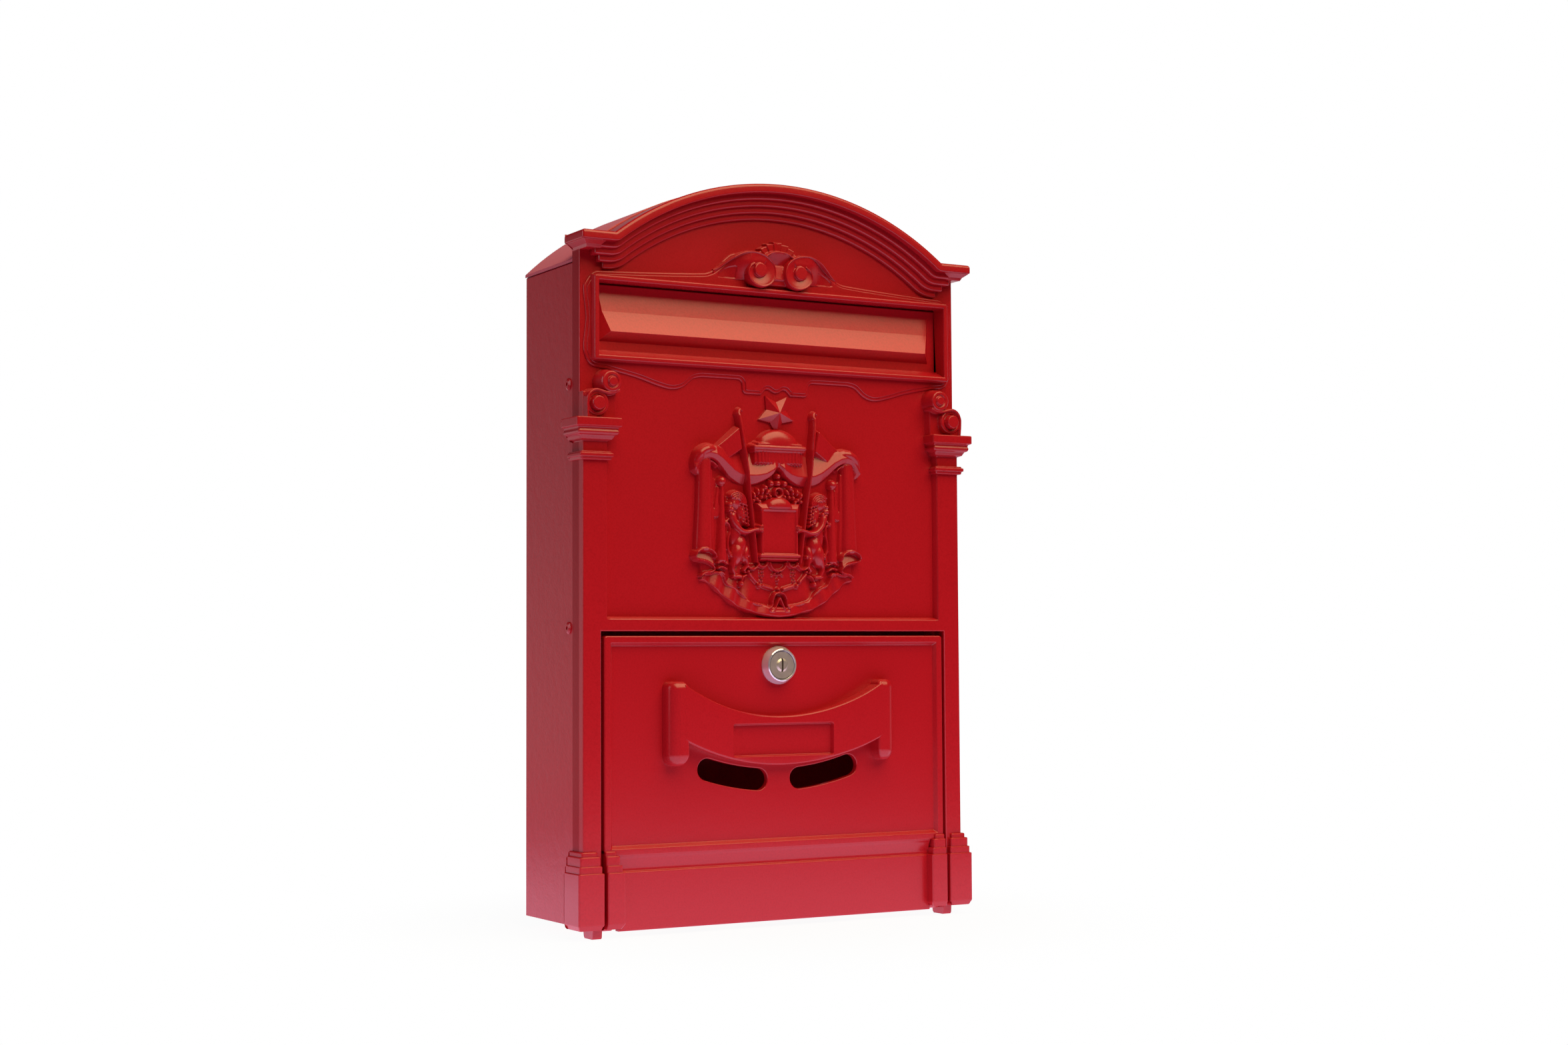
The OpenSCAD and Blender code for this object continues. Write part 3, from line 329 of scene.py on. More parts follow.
# A socket's value moved from the range given to the range made, eased at both ends if smooth.
def mapped(tree, source, given, made, smooth=True):
    node = tree.nodes.new("ShaderNodeMapRange")
    for name, value in zip(("From Min", "From Max", "To Min", "To Max"), (*given, *made)):
        node.inputs[name].default_value = value
    if smooth:
        node.interpolation_type = "SMOOTHSTEP"
    tree.links.new(source, node.inputs["Value"])
    return node.outputs[0]


coat = {
    "red": (0.47, 0.0086, 0.0165),
    "deep": (0.41, 0.0070, 0.0138),
    "roughness": 0.25,
    "grain": 1100.0, "grainDetail": 1.5,
    "waves": 240.0, "waveDetail": 2.0, "waveShare": 1.8,  # the waves' height against the grain's
    "toneRange": (0.12, 0.3),
    "bump": 0.06, "bumpDistance": 0.0004,
}


# Height of a sprayed and baked coat: fine grain over soft waves, with a few dust nibs.
def orangePeelGroup():
    group = bpy.data.node_groups.new("orangePeel", "ShaderNodeTree")
    face = group.interface
    for name, value in (("Grain", 900.0), ("Waves", 160.0), ("Speckle", 0.5)):
        face.new_socket(name, in_out="INPUT", socket_type="NodeSocketFloat").default_value = value
    face.new_socket("Height", in_out="OUTPUT", socket_type="NodeSocketFloat")
    face.new_socket("Tone", in_out="OUTPUT", socket_type="NodeSocketFloat")
    node, link = group.nodes.new, group.links.new
    given, out = node("NodeGroupInput"), node("NodeGroupOutput")
    place = node("ShaderNodeTexCoord")
    grain, waves = node("ShaderNodeTexNoise"), node("ShaderNodeTexNoise")
    for noise, scale in ((grain, "Grain"), (waves, "Waves")):
        link(place.outputs["Object"], noise.inputs["Vector"])
        link(given.outputs[scale], noise.inputs["Scale"])
    grain.inputs["Detail"].default_value = coat["grainDetail"]
    waves.inputs["Detail"].default_value = coat["waveDetail"]
    add = node("ShaderNodeMath")
    add.operation = "MULTIPLY_ADD"
    link(waves.outputs["Fac"], add.inputs[0])
    add.inputs[1].default_value = coat["waveShare"]
    link(grain.outputs["Fac"], add.inputs[2])
    link(add.outputs[0], out.inputs["Height"])
    tone = node("ShaderNodeMath")
    tone.operation = "MULTIPLY"
    link(grain.outputs["Fac"], tone.inputs[0])
    link(given.outputs["Speckle"], tone.inputs[1])
    link(tone.outputs[0], out.inputs["Tone"])
    return group


# Red coat: its tone moves from deep to red with the grain, and the grain is its bump too. A tone above 1
# gives a lighter copy of the coat (painted light), below 1 a darker copy (painted shade); sheen and tint add
# a tinted grazing sheen, used as a painted reflection.
def coatMaterial(name, grain=1.0, bump=1.0, roughness=0.0, tone=1.0, gloss=0.5, sheen=0.0, tint=(1, 1, 1)):
    material, tree, shader = newMaterial(name)
    node, link = tree.nodes.new, tree.links.new
    peel = node("ShaderNodeGroup")
    peel.node_tree = peelGroup
    peel.inputs["Grain"].default_value = coat["grain"] * grain
    peel.inputs["Waves"].default_value = coat["waves"] * grain
    mix = node("ShaderNodeMix")
    mix.data_type = "RGBA"
    mix.inputs["A"].default_value = (*[v * tone for v in coat["deep"]], 1)
    mix.inputs["B"].default_value = (*[v * tone for v in coat["red"]], 1)
    link(mapped(tree, peel.outputs["Tone"], coat["toneRange"], (0, 1), False), mix.inputs["Factor"])
    link(mix.outputs["Result"], shader.inputs["Base Color"])
    height = node("ShaderNodeBump")
    height.inputs["Strength"].default_value = coat["bump"] * bump
    height.inputs["Distance"].default_value = coat["bumpDistance"]
    link(peel.outputs["Height"], height.inputs["Height"])
    link(height.outputs[0], shader.inputs["Normal"])
    shader.inputs["Roughness"].default_value = coat["roughness"] + roughness
    shader.inputs["Specular IOR Level"].default_value = gloss
    shader.inputs["Sheen Weight"].default_value = sheen
    shader.inputs["Sheen Tint"].default_value = (*tint, 1)
    return material


metalGrain = 700


# Metal whose roughness varies with noise, from roughness to roughness + scratch.
def metalMaterial(name, color, roughness, scratch=0.0, metallic=1.0):
    material, tree, shader = newMaterial(name)
    node, link = tree.nodes.new, tree.links.new
    place, noise = node("ShaderNodeTexCoord"), node("ShaderNodeTexNoise")
    link(place.outputs["Object"], noise.inputs["Vector"])
    noise.inputs["Scale"].default_value = metalGrain
    uneven = mapped(tree, noise.outputs["Fac"], (0, 1), (roughness, roughness + scratch), False)
    link(uneven, shader.inputs["Roughness"])
    shader.inputs["Base Color"].default_value = (*color, 1)
    shader.inputs["Metallic"].default_value = metallic
    return material


peelGroup = orangePeelGroup()
castRed = coatMaterial("castRed")
sheetRed = coatMaterial("sheetRed", grain=0.7, bump=2.6, roughness=0.08)
# Painted light: the flap wears a lighter, glossier copy of the red coat, which brightens it where its recess
# keeps light off.
flapRed = coatMaterial("flapRed", grain=0.8, bump=1.4, roughness=0.05, tone=1.3, gloss=0.58)
# Painted light: the roof wears a lighter copy of the red coat with full gloss and a pink sheen, a painted
# pale reflection at grazing angles.
roofRed = coatMaterial("roofRed", grain=0.7, bump=2.6, roughness=0.2, tone=1.15, gloss=1.0, sheen=0.4,
                       tint=(1.0, 0.55, 0.85))
# Painted shade: a darker, less glossy copy of the red coat for the casting's sides.
rimRed = coatMaterial("rimRed", tone=0.72, gloss=0.12)
zinc = metalMaterial("zinc", (0.62, 0.63, 0.64), 0.32, 0.15)
chrome = metalMaterial("chromePlate", (0.82, 0.84, 0.90), 0.07, 0.05, 0.66)
nickel = metalMaterial("satinNickel", (0.62, 0.57, 0.49), 0.3, 0.2, 0.8)
brass = metalMaterial("waferBrass", (0.78, 0.6, 0.3), 0.3, 0.1)
print("materials ready")


# A piece of the castings, in their red coat.
def castPiece(name, parts, body="box", stands=(), crease=38):
    makePiece(name, parts, body, castRed, stands, crease)


# cornice

cornice = {
    "projection": 13.6, "fascia": 5.0, "topRound": 1.9, "lowRound": 0.8,
    "overhang": 4.4,  # level ends past the sides
    "fasciaStart": 109.6,  # where the fascia leaves its level end for the arch
    "slopeStarts": ((112.0, 1.0), (106.0, 0.45)),  # x and size of the slopes' tapering sections
    "bend": 1.0,  # radius of the inner bend at the very top
    "stepHeight": 3.4, "stepProjection": 9.5, "stepBack": 2.45, "stepRound": 1.3,
    "stepEnds": (117.5, 114.0, 110.6, 107.4),  # the steps' level ends
    "endRound": 1.5, "arcSamples": 110,
}


# Edge of the arch moved in by d, from right to left: level end, inner bend, arc and back.
def archLine(d, xEnd):
    radius, centre = case["archRadius"] - d, case["archCentre"]
    bend = cornice["bend"] + d
    bendZ = case["levelEnd"] - d + bend
    bendX = math.sqrt((radius + bend) ** 2 - (bendZ - centre) ** 2)
    meet = math.degrees(math.atan2(bendZ - centre, bendX))
    level = np.stack([np.linspace(xEnd, bendX, 4), np.full(4, case["levelEnd"] - d)], 1)[:-1]
    inner = arcLine(bendX, bendZ, bend, 270, 180 + meet, 9)
    arc = arcLine(0, centre, radius, meet, 90, cornice["arcSamples"] // 2)[1:]
    right = np.vstack([level, inner, arc])
    return np.vstack([right, right[-2::-1] * [-1, 1]])


# A moulding: a rounded profile (d, p) carried along the arch, with rounded ends.
def archBar(d0, d1, front, back, xEnd, radii, endRound):
    profile = filleted([(d0, back), (d0, front), (d1, front), (d1, back)], [0, radii[0], radii[1], 0], 6)
    d, p = profile.T
    line = np.stack([archLine(one, xEnd - endRound) for one in d], 1)
    middle = toFrame(line[..., 0], p, line[..., 1])
    s = np.linspace(0, endRound, 6)[:-1]
    inset = endRound - np.sqrt(endRound ** 2 - (endRound - s) ** 2)
    inset = np.minimum(inset, 0.42 * (d1 - d0))[:, None]
    endD = np.clip(d, d0 + inset, d1 - inset)
    endP = np.minimum(p, front - inset)
    end = toFrame(xEnd - s[:, None], endP, case["levelEnd"] - endD)
    return stackSolid([np.concatenate([end, middle, end[::-1] * [-1, 1, 1]])])


# Stations that turn a profile (d, p) round a level end's corner and carry it back along the side.
def returnEnd(profile, xEnd, front, back, corner):
    d, p = np.asarray(profile, float).T
    inset = front - p
    centre = np.maximum(corner, inset)
    radius = np.maximum(corner - inset, 0.02)
    turn = np.radians(np.linspace(0, 90, 7))[:, None]
    x = xEnd - centre + radius * np.cos(turn)
    depth = front - centre + radius * np.sin(turn)
    x, depth = np.vstack([x[:1], x]), np.vstack([np.full(len(d), back), depth])
    return toFrame(x, depth, case["levelEnd"] - d)


# The fascia: it runs along the arch and turns back at both level ends.
def fasciaBar():
    c = cornice
    front, back = c["projection"], -0.6
    profile = filleted([(0, back), (0, front), (c["fascia"], front), (c["fascia"], back)],
                       [0, c["topRound"], c["lowRound"], 0], 6)
    d, p = profile.T
    line = np.stack([archLine(one, c["fasciaStart"]) for one in d], 1)
    end = returnEnd(profile, case["halfWidth"] + c["overhang"], front, -case["rimDepth"] - 0.4, c["endRound"])
    return stackSolid([np.concatenate([end, toFrame(line[..., 0], p, line[..., 1]), end[::-1] * [-1, 1, 1]])])


# Two slopes under a level end: they taper off inside the front part and follow the turn.
def underSlope():
    c = cornice
    profile = filleted([(4.4, 2), (4.4, c["projection"] - 0.8), (5.2, c["projection"] - 0.9),
                        (7.3, c["projection"] - 3.8), (8.9, c["projection"] - 4.6), (8.9, 2)],
                       [0, 0.3, 0.5, 0.4, 0.4, 0], 4)
    end = returnEnd(profile, case["halfWidth"] + c["overhang"] - 0.8, c["projection"] - 0.8,
                    -case["rimDepth"] - 0.3, 1.0)
    d, p = profile.T
    rows = [toFrame(np.full(len(d), x), 2 + (p - 2) * share, case["levelEnd"] - 4.4 - (d - 4.4) * share)
            for x, share in c["slopeStarts"]]
    return stackSolid([np.concatenate([end, np.stack(rows)])])


# Fascia, the plate's edge behind it and the steps under it, each one set further back.
def makeCornice():
    c = cornice
    parts = [fasciaBar()]
    parts.append(archBar(0.06, case["plate"], -0.5, -case["rimDepth"], case["halfWidth"] - 0.06,
                         (0.01, 0.01), 0.4))
    for i, end in enumerate(c["stepEnds"]):
        top = c["fascia"] + i * c["stepHeight"]
        parts.append(archBar(top - 0.6, top + c["stepHeight"], c["stepProjection"] - i * c["stepBack"],
                             -0.6 - 0.05 * i, end, (0.2, c["stepRound"]), 1.1))
    parts += onBoth([underSlope()])
    castPiece("cornice", parts, stands=("front_casting",))


# main face, slot and raised plate

slot = {
    "halfWidth": 110.7, "top": 349.8, "bottom": 309.7, "bead": 3.1, "projection": 5.4, "throat": 5.5,
    "sillRise": 3.6,
}
pillar = {
    "inner": 104.6, "projection": 4.2, "top": 289.6, "railLow": 162.1, "railTop": 170.0,
    "doorway": 109.4, "edge": 0.7,
}


# A rectangle with rounded corners, counter-clockwise from its lower right.
def rectangle(x0, x1, z0, z1, r=0.0, steps=4):
    return filleted([(x1, z0), (x1, z1), (x0, z1), (x0, z0)], max(r, 1e-3), steps)


# The slot's opening, a millimetre larger all round.
def slotHole():
    x = slot["halfWidth"] + 1
    return rectangle(-x, x, slot["bottom"] - 1, slot["top"] + 1)


# Flat face under the cornice, open at the slot and the doorway, with a strip down each side.
def makeFace():
    w, f = case["halfWidth"], pillar
    top = archLine(4.0, w)
    right = [(f["doorway"] + 1, case["feet"] + 1), (w - 0.6, case["feet"] + 1), (w - 0.6, f["top"] - 2),
             (w, f["top"] - 2)]
    outline = np.vstack([right, top, flipped(right), [(-f["doorway"] - 1, f["railLow"] + 1)],
                         [(f["doorway"] + 1, f["railLow"] + 1)]])
    parts = [plate([outline, slotHole()], 0, -case["plate"] + 0.05, [0.8, 0.1])]
    strip = filleted([(w - 3, f["top"] - 1), (w - 0.05, f["top"] - 1), (w - 0.05, case["levelEnd"] - 4),
                      (w - 3, case["levelEnd"] - 4)], 0.01)
    parts += onBoth([plate([strip], -1.2, -case["rimDepth"] + 0.02, 0.01)])
    castPiece("main_face", parts)


# The casting's sides between its front edge and the sheet, covered by a thin plate in a darker, less glossy
# copy of the red coat: painted shade.
def makeSideRimShade():
    w, low, high = case["halfWidth"] + 0.04, case["feet"] + 1, case["levelEnd"] - 9.2
    outline = filleted([(w - 1, low), (w, low), (w, high), (w - 1, high)], 0.01)
    rim = plate([outline], -1.1, -case["rimDepth"] + 0.05, 0.02)
    makePiece("side_rims", onBoth([rim]), "box", rimRed)


# Pilasters and rail as one frame. Its inner edge towards the panel is a bevel, the others are rounded.
def makePanelFrame():
    f, w = pillar, case["halfWidth"]
    low = case["feet"] + 1.5
    outer = [(w, low), (w, f["top"])]
    inner = [(f["inner"], f["top"]), (f["inner"], f["railTop"])]
    notch = [(f["doorway"], f["railLow"]), (f["doorway"], low)]
    half = filleted(outer + inner, [0, 0, 0, 1.0], 4, closed=False)
    right = np.vstack([half, [f["inner"] - 1.2, f["railTop"]]])
    loop = np.vstack([right, flipped(right), flipped(notch), notch])
    bevelled = np.zeros(len(loop))
    count = len(right)
    bevelled[2:count] = 1
    bevelled[count:2 * count - 2] = 1
    steps = np.linspace(0, 1, 6)
    e, h = f["edge"], f["projection"]
    t = steps * math.pi / 2
    roundInset, roundDepth = e * (1 - np.cos(t)), h - e * (1 - np.sin(t))
    slopeInset = np.array([0, 0.35, 0.8, 1.15, 1.45, 1.9])
    slopeDepth = np.array([0.0, 1.3, 2.7, 3.65, 4.05, 4.2])
    roundInset = np.concatenate([[0], roundInset])
    roundDepth = np.concatenate([[-case["rimDepth"] + 0.02], roundDepth])
    slopeInset = np.concatenate([[0], slopeInset])
    slopeDepth = np.concatenate([[-0.5], slopeDepth])
    inset = roundInset[:, None] * (1 - bevelled) + slopeInset[:, None] * bevelled
    depth = roundDepth[:, None] * (1 - bevelled) + slopeDepth[:, None] * bevelled
    flat = loop - inset[..., None] * awayFrom(loop)
    parts = [stackSolid([toFrame(flat[..., 0], depth, flat[..., 1])])]
    castPiece("panel_frame", parts)


# Bead and throat: a closed profile (a, p) carried round the slot, a measured outwards from its edge.
def makeSlotFrame():
    s = slot
    p = s["projection"]
    profile = filleted([(0, -s["throat"]), (0, p), (s["bead"] - 0.5, p), (s["bead"], 2.4),
                        (s["bead"] + 0.7, -0.5),
                        (2, -0.5), (2, -s["throat"])], [0, 0.8, 0.8, 0.6, 0, 0, 0], 5)
    a, depth = profile.T
    loops = np.stack([rectangle(-s["halfWidth"] - one, s["halfWidth"] + one, s["bottom"] - one,
                                s["top"] + one, 0.25 + 0.22 * one) for one in a], 1)
    rows = toFrame(loops[..., 0], depth, loops[..., 1])
    index = np.arange(rows.shape[0] * rows.shape[1]).reshape(rows.shape[:2])
    ring = (rows.reshape(-1, 3), wallQuads(np.vstack([index, index[:1]])), np.zeros((0, 3), int))
    low, rise = s["bottom"], s["sillRise"]
    sill = filleted([(p - 1.2, low - 1), (p - 1.2, low + 0.05), (-s["throat"] + 2, low + rise),
                     (-s["throat"], low + rise), (-s["throat"], low - 1)], [0, 0.5, 0.5, 0.3, 0])
    parts = [ring, across(s["halfWidth"] + 0.3, sill)]
    castPiece("slot_frame", parts)


# Outline of the raised plate round the slot, from its right half.
def cartoucheOutline():
    t, b, x = slot["top"], slot["bottom"], slot["halfWidth"]
    top = smoothLine([(14, t + 21.7), (26, t + 21.9), (31.5, t + 18.8), (36, t + 14.2), (42, t + 10.2),
                      (50, t + 8.9), (80, t + 7), (x - 6, t + 5.8), (x + 1.5, t + 4.8), (x + 6.4, t - 1),
                      (x + 7.3, t - 6), (x + 5.9, (t + b) / 2), (x + 7.3, b + 6), (x + 6.2, b - 1),
                      (x + 2.2, b - 5.8), (x - 7, b - 7.4), (87, b - 10.7), (74, b - 14.4), (65, b - 16),
                      (58, b - 14.2), (52, b - 9.6), (47, b - 8.3)], 7)
    step = filleted([(40, b - 8.3), (21.3, b - 8.3), (21.3, b - 16.2), (14, b - 16.2)], [0, 3.0, 3.0, 0], 7,
                    False)
    dip = smoothLine([(9.5, b - 16.2), (7.9, b - 14.6), (6.2, b - 13.2), (4.4, b - 13.2), (2.4, b - 14.4),
                      (0.4, b - 15.0)], 5)
    half = np.vstack([[[0.4, t + 21.7]], top, step, dip])[::-1]
    return mirrored(half)


# The raised plate in two levels: the upper one is the outline moved in along its normals.
def makeCartouche():
    hole, outline = slotHole(), cartoucheOutline()
    inner = outline - 1.75 * awayFrom(outline)
    wedge = filleted([(26.0, 357.4), (37.6, 357.4), (36.4, 359.8), (33.4, 362.4), (30, 364.0), (26.0, 364.6)],
                     [0.8, 0.8, 2, 2, 2, 0.8])
    parts = [plate([outline, hole], 1.15, -0.4, [0.95, 0.1], 6),
             plate([inner, hole, wedge, flipped(wedge)], 1.75, 0.7, [0.6, 0.1, 0.3, 0.3], 6)]
    castPiece("slot_plate", parts)


# pilasters' ends

# A moulding that turns round a pilaster: a plan outline for each (z, projection) of the profile.
def wrappedSolid(profile, plan):
    rows = []
    for z, q in profile:
        outline = plan(q)
        rows.append(toFrame(outline[:, 0], outline[:, 1], z))
    return stackSolid([np.stack(rows)])


# Plan of a moulding round the pilaster, as (x, p): in front of it and back along the side.
def pillarPlan(inner, base, back, corner, lean=1.0):
    w = case["halfWidth"]

    def plan(q):
        return filleted([(inner - q * lean, -0.4), (inner - q * lean, base + q), (w + q, base + q),
                         (w + q, -back),
                         (w - 3, -back), (w - 3, -0.4)], [0, corner, corner, 0.6, 0, 0], 5)
    return plan


capital = {"top": 275.5, "inner": 105.6, "corner": 0.9, "back": 10.0}


# Slab, ovolo and neck over an astragal, all carried round the pilasters.
def makeCapitals():
    c = capital
    z, plan = c["top"], pillarPlan(c["inner"], pillar["projection"], c["back"], c["corner"])
    slab = filleted([(z - 5.0, 5.4), (z - 4.6, 6.3), (z, 6.3), (z + 0.01, 5.0)], [0, 0.5, 0.9, 0], 5, False)
    ovolo = smoothLine([(z - 9.4, 3.3), (z - 8.9, 4.4), (z - 7.6, 5.0), (z - 6.4, 4.6), (z - 5.4, 4.8),
                        (z - 5.0, 5.4)], 4)
    neckTop = filleted([(z - 12.2, 0.2), (z - 11.4, 2.2), (z - 10.0, 2.9), (z - 9.4, 3.3)],
                       [0, 0.4, 0.3, 0], 4, False)
    head = np.vstack([[(z - 12.6, 0.1)], neckTop, ovolo[1:], slab[1:]])
    astragal = filleted([(z - 22.5, 0.1), (z - 22.3, 1.7), (z - 20.8, 2.0), (z - 20.6, 2.8), (z - 18.8, 2.8),
                         (z - 18.6, 1.9), (z - 17.8, 1.9), (z - 17.7, 0.1)], [0, 0.5, 0.2, 0.8, 0.7, 0.2,
                                                                              0.4, 0], 5, False)
    parts = onBoth([wrappedSolid(head, plan), wrappedSolid(astragal, plan)])
    castPiece("capitals", parts)


block = {"height": 29.6, "projection": 4.6, "corner": 1.1}


# Profile of a base block as (z, projection): a plain block with three steps on it.
def blockProfile():
    h, p, z = block["height"], block["projection"], case["feet"]
    return filleted([(z, p - 1.3), (z + 2.6, p), (z + h, p), (z + h + 0.05, p - 0.9), (z + h + 3.7, p - 0.9),
                     (z + h + 3.75, p - 1.7), (z + h + 8.6, p - 1.7), (z + h + 8.65, p - 2.9),
                     (z + h + 11.0, p - 2.9), (z + h + 11.2, 0.2)],
                    [0, 2.0, 0.9, 0.1, 0.8, 0.1, 0.8, 0.1, 0.7, 0], 5, False)


# The base blocks' outer part, held clear of the doorway: x = max(x, doorway).
def makeBaseBlocks():
    plan = pillarPlan(pillar["doorway"] + block["projection"], pillar["projection"], 10.0, block["corner"])

    def fitted(q):
        outline = plan(q)
        outline[:, 0] = np.maximum(outline[:, 0], pillar["doorway"] + 0.02 * (block["projection"] - q))
        return outline
    parts = onBoth([wrappedSolid(blockProfile(), fitted)])
    castPiece("base_blocks", parts)


# raised ornament on the panel

ornament = {
    "low": 168.8, "high": 276.4, "reach": 55.6, "step": 0.36,
    "under": -0.5,  # depth of the relief's ground, behind the main face
    "draft": 3.2,  # slope of the sides
}


# The right half of a height field over an area of the face.
def newField(area):
    x, z = np.arange(0, area["reach"], area["step"]), np.arange(area["low"], area["high"], area["step"])
    gx, gz = np.meshgrid(x, z, indexing="ij")
    return {"x": gx, "z": gz, "p": np.full(gx.shape, area["under"]), "area": area}


# The part of the field round some points, as a pair of slices.
def windowOf(field, points, margin):
    o = field["area"]
    low = np.floor((np.min(points, 0) - margin - [0, o["low"]]) / o["step"]).astype(int)
    high = np.ceil((np.max(points, 0) + margin - [0, o["low"]]) / o["step"]).astype(int)
    low = np.maximum(low, 0)
    return slice(low[0], max(high[0], 1)), slice(low[1], max(high[1], 1))


# Distance to a polyline, and how far along it the nearest point lies, from 0 to 1.
def lineDistance(x, z, path):
    best, along, done = np.full(x.shape, 1e9), np.zeros(x.shape), 0.0
    lengths = np.linalg.norm(np.diff(path, axis=0), axis=1)
    for a, b, length in zip(path[:-1], path[1:], lengths):
        if length < 1e-9:
            continue
        d = (b - a) / length
        t = np.clip((x - a[0]) * d[0] + (z - a[1]) * d[1], 0, length)
        gap = np.hypot(x - a[0] - t * d[0], z - a[1] - t * d[1])
        nearer = gap < best
        best = np.where(nearer, gap, best)
        along = np.where(nearer, (done + t) / lengths.sum(), along)
        done += length
    return best, along


# Raises the field to a height with a smooth maximum: max(a, b) plus a small fillet where they meet.
def lift(field, window, height, blend=0.25):
    old = field["p"][window]
    near = np.clip(blend - np.abs(old - height), 0, None) / blend
    field["p"][window] = np.maximum(old, height) + near * near * blend / 4


# Values that stand at even steps along a path, read at each place of it.
def spread(along, values):
    values = np.atleast_1d(values)
    return np.interp(along, np.linspace(0, 1, len(values)), values)


# A rounded ridge along a path: low + (top - low) * sqrt(1 - (distance / radius) ** power).
def rope(field, path, radius, top, low=0.0, power=2.0, blend=0.25, above=0.0):
    path = np.asarray(path, float)
    window = windowOf(field, path, np.max(radius) + 2.2)
    gap, along = lineDistance(field["x"][window], field["z"][window], path)
    r, h = spread(along, radius), spread(along, top)
    bow = np.sqrt(np.clip(1 - (gap / r) ** power, 0, 1))
    height = low + (h - low) * bow - field["area"]["draft"] * np.clip(gap - r, 0, None)
    height = height - field["area"]["draft"] * np.clip(above - field["z"][window], 0, None)
    lift(field, window, height, blend)


# A dome on an ellipse, turned by some degrees and cut off below a height if one is given.
def boss(field, x, z, rx, rz, top, low=0.0, turn=0.0, power=2.0, above=0.0):
    window = windowOf(field, [(x, z)], max(rx, rz) + 2.2)
    c, s = math.cos(math.radians(turn)), math.sin(math.radians(turn))
    dx, dz = field["x"][window] - x, field["z"][window] - z
    e = np.hypot((dx * c + dz * s) / rx, (dz * c - dx * s) / rz)
    height = low + (top - low) * np.sqrt(np.clip(1 - e ** power, 0, 1))
    height = height - field["area"]["draft"] * np.clip(e - 1, 0, None) * min(rx, rz)
    height = height - field["area"]["draft"] * np.clip(above - field["z"][window], 0, None)
    lift(field, window, height)


# A small round boss that rises with its radius.
def bead(field, x, z, r, top=None):
    boss(field, x, z, r, r, 1.2 + 1.8 * r if top is None else top, 0.4 if top is None else top - 1.3 * r)


# Signed distance to an outline: positive inside it, by counting crossings.
def depthInside(x, z, outline):
    gap, _ = lineDistance(x, z, np.vstack([outline, outline[:1]]))
    inside = np.zeros(x.shape, bool)
    for a, b in zip(outline, np.roll(outline, -1, 0)):
        if a[1] != b[1]:
            crossing = (z < a[1]) != (z < b[1])
            inside ^= crossing & (x < a[0] + (z - a[1]) * (b[0] - a[0]) / (b[1] - a[1]))
    return np.where(inside, gap, -gap)


# Lowers an area by a depth, with a soft edge.
def sink(field, outline, depth, edge):
    window = windowOf(field, outline, 1)
    x, z = field["x"][window], field["z"][window]
    field["p"][window] -= depth * ease(depthInside(x, z, np.asarray(outline, float)) / edge + 0.5)


# A raised area with a rounded edge. top is a height or a function of x and z.
def slab(field, outline, top, edge, blend=0.15):
    outline = np.asarray(outline, float)
    window = windowOf(field, outline, 2.2)
    x, z = field["x"][window], field["z"][window]
    depth = depthInside(x, z, outline)
    u = np.clip(depth / edge, 0, 1)
    level = top(x, z) if callable(top) else top
    height = level - edge * (1 - np.sqrt(1 - (1 - u) ** 2)) + field["area"]["draft"] * np.minimum(depth, 0)
    lift(field, window, height, blend)


# A round raised area: a slab on a circle.
def disc(field, x, z, r, top, edge):
    slab(field, arcLine(x, z, r, 0, 360, 49)[:-1], top, edge)


# Smooth step from 0 to 1: t * t * (3 - 2 * t).
def ease(t):
    t = np.clip(t, 0, 1)
    return t * t * (3 - 2 * t)


canopy = {
    "crest": [(0, 255), (4, 251.6), (8, 249.4), (12, 248.5), (16, 248.2), (20, 248.3), (24, 249), (28, 250.8),
              (32, 253.8), (36, 256.9), (40, 259), (44, 259.8), (47.5, 258.6), (50, 255.8), (56, 246)],
    "hem": [(0.2, 252.9), (4.6, 248.2), (9, 245.4), (14, 243.4), (19, 242.7), (24, 243.4), (29, 246),
            (33, 249.4), (36, 252.5), (39, 255.1), (43, 256.9), (46.5, 256.7), (48.7, 255.2), (49.7, 252.5)],
    "curl": [(49.2, 249.4), (48.2, 247.9), (50.3, 247.5), (52.8, 250.6), (53.6, 255.2), (51.8, 260),
             (48.4, 263),
             (44, 264.3), (40, 263.7), (36, 262.6)],
}


# A cloth swag: it slopes outwards down to its crest line, then turns back in to its hem.
def makeCanopy(field):
    c = canopy
    crestX, crestZ = np.array(c["crest"]).T

    def level(x, z):
        v = z - np.interp(x, crestX, crestZ)
        peak = np.interp(x, [0, 3, 18, 21, 24, 40, 56], [4.2, 5.8, 3.6, 3.4, 3.8, 6.4, 5.2])
        return peak - np.where(v > 0, 0.3 * v, -0.52 * v)
    outline = np.vstack([[(-3, 252.9)], smoothLine(c["hem"], 4), smoothLine(c["curl"], 4),
                         [(24, 262), (-3, 262)]])
    slab(field, outline, level, 0.6)
    rope(field, smoothLine([(40, 261.4), (44.4, 261.8), (48.4, 260.2), (51, 256.8), (51.5, 252.6),
                            (50, 249)], 4),
         [2.6, 3.2, 3.0, 2.3, 1.3], [5.4, 7.0, 6.8, 5.2, 3.0], 0.8)
    rope(field, smoothLine([(49, 251.8), (47.6, 254.6), (44.4, 255.9), (41, 254.8), (38.4, 252.6)], 4),
         0.55, 3.6, 2.2)


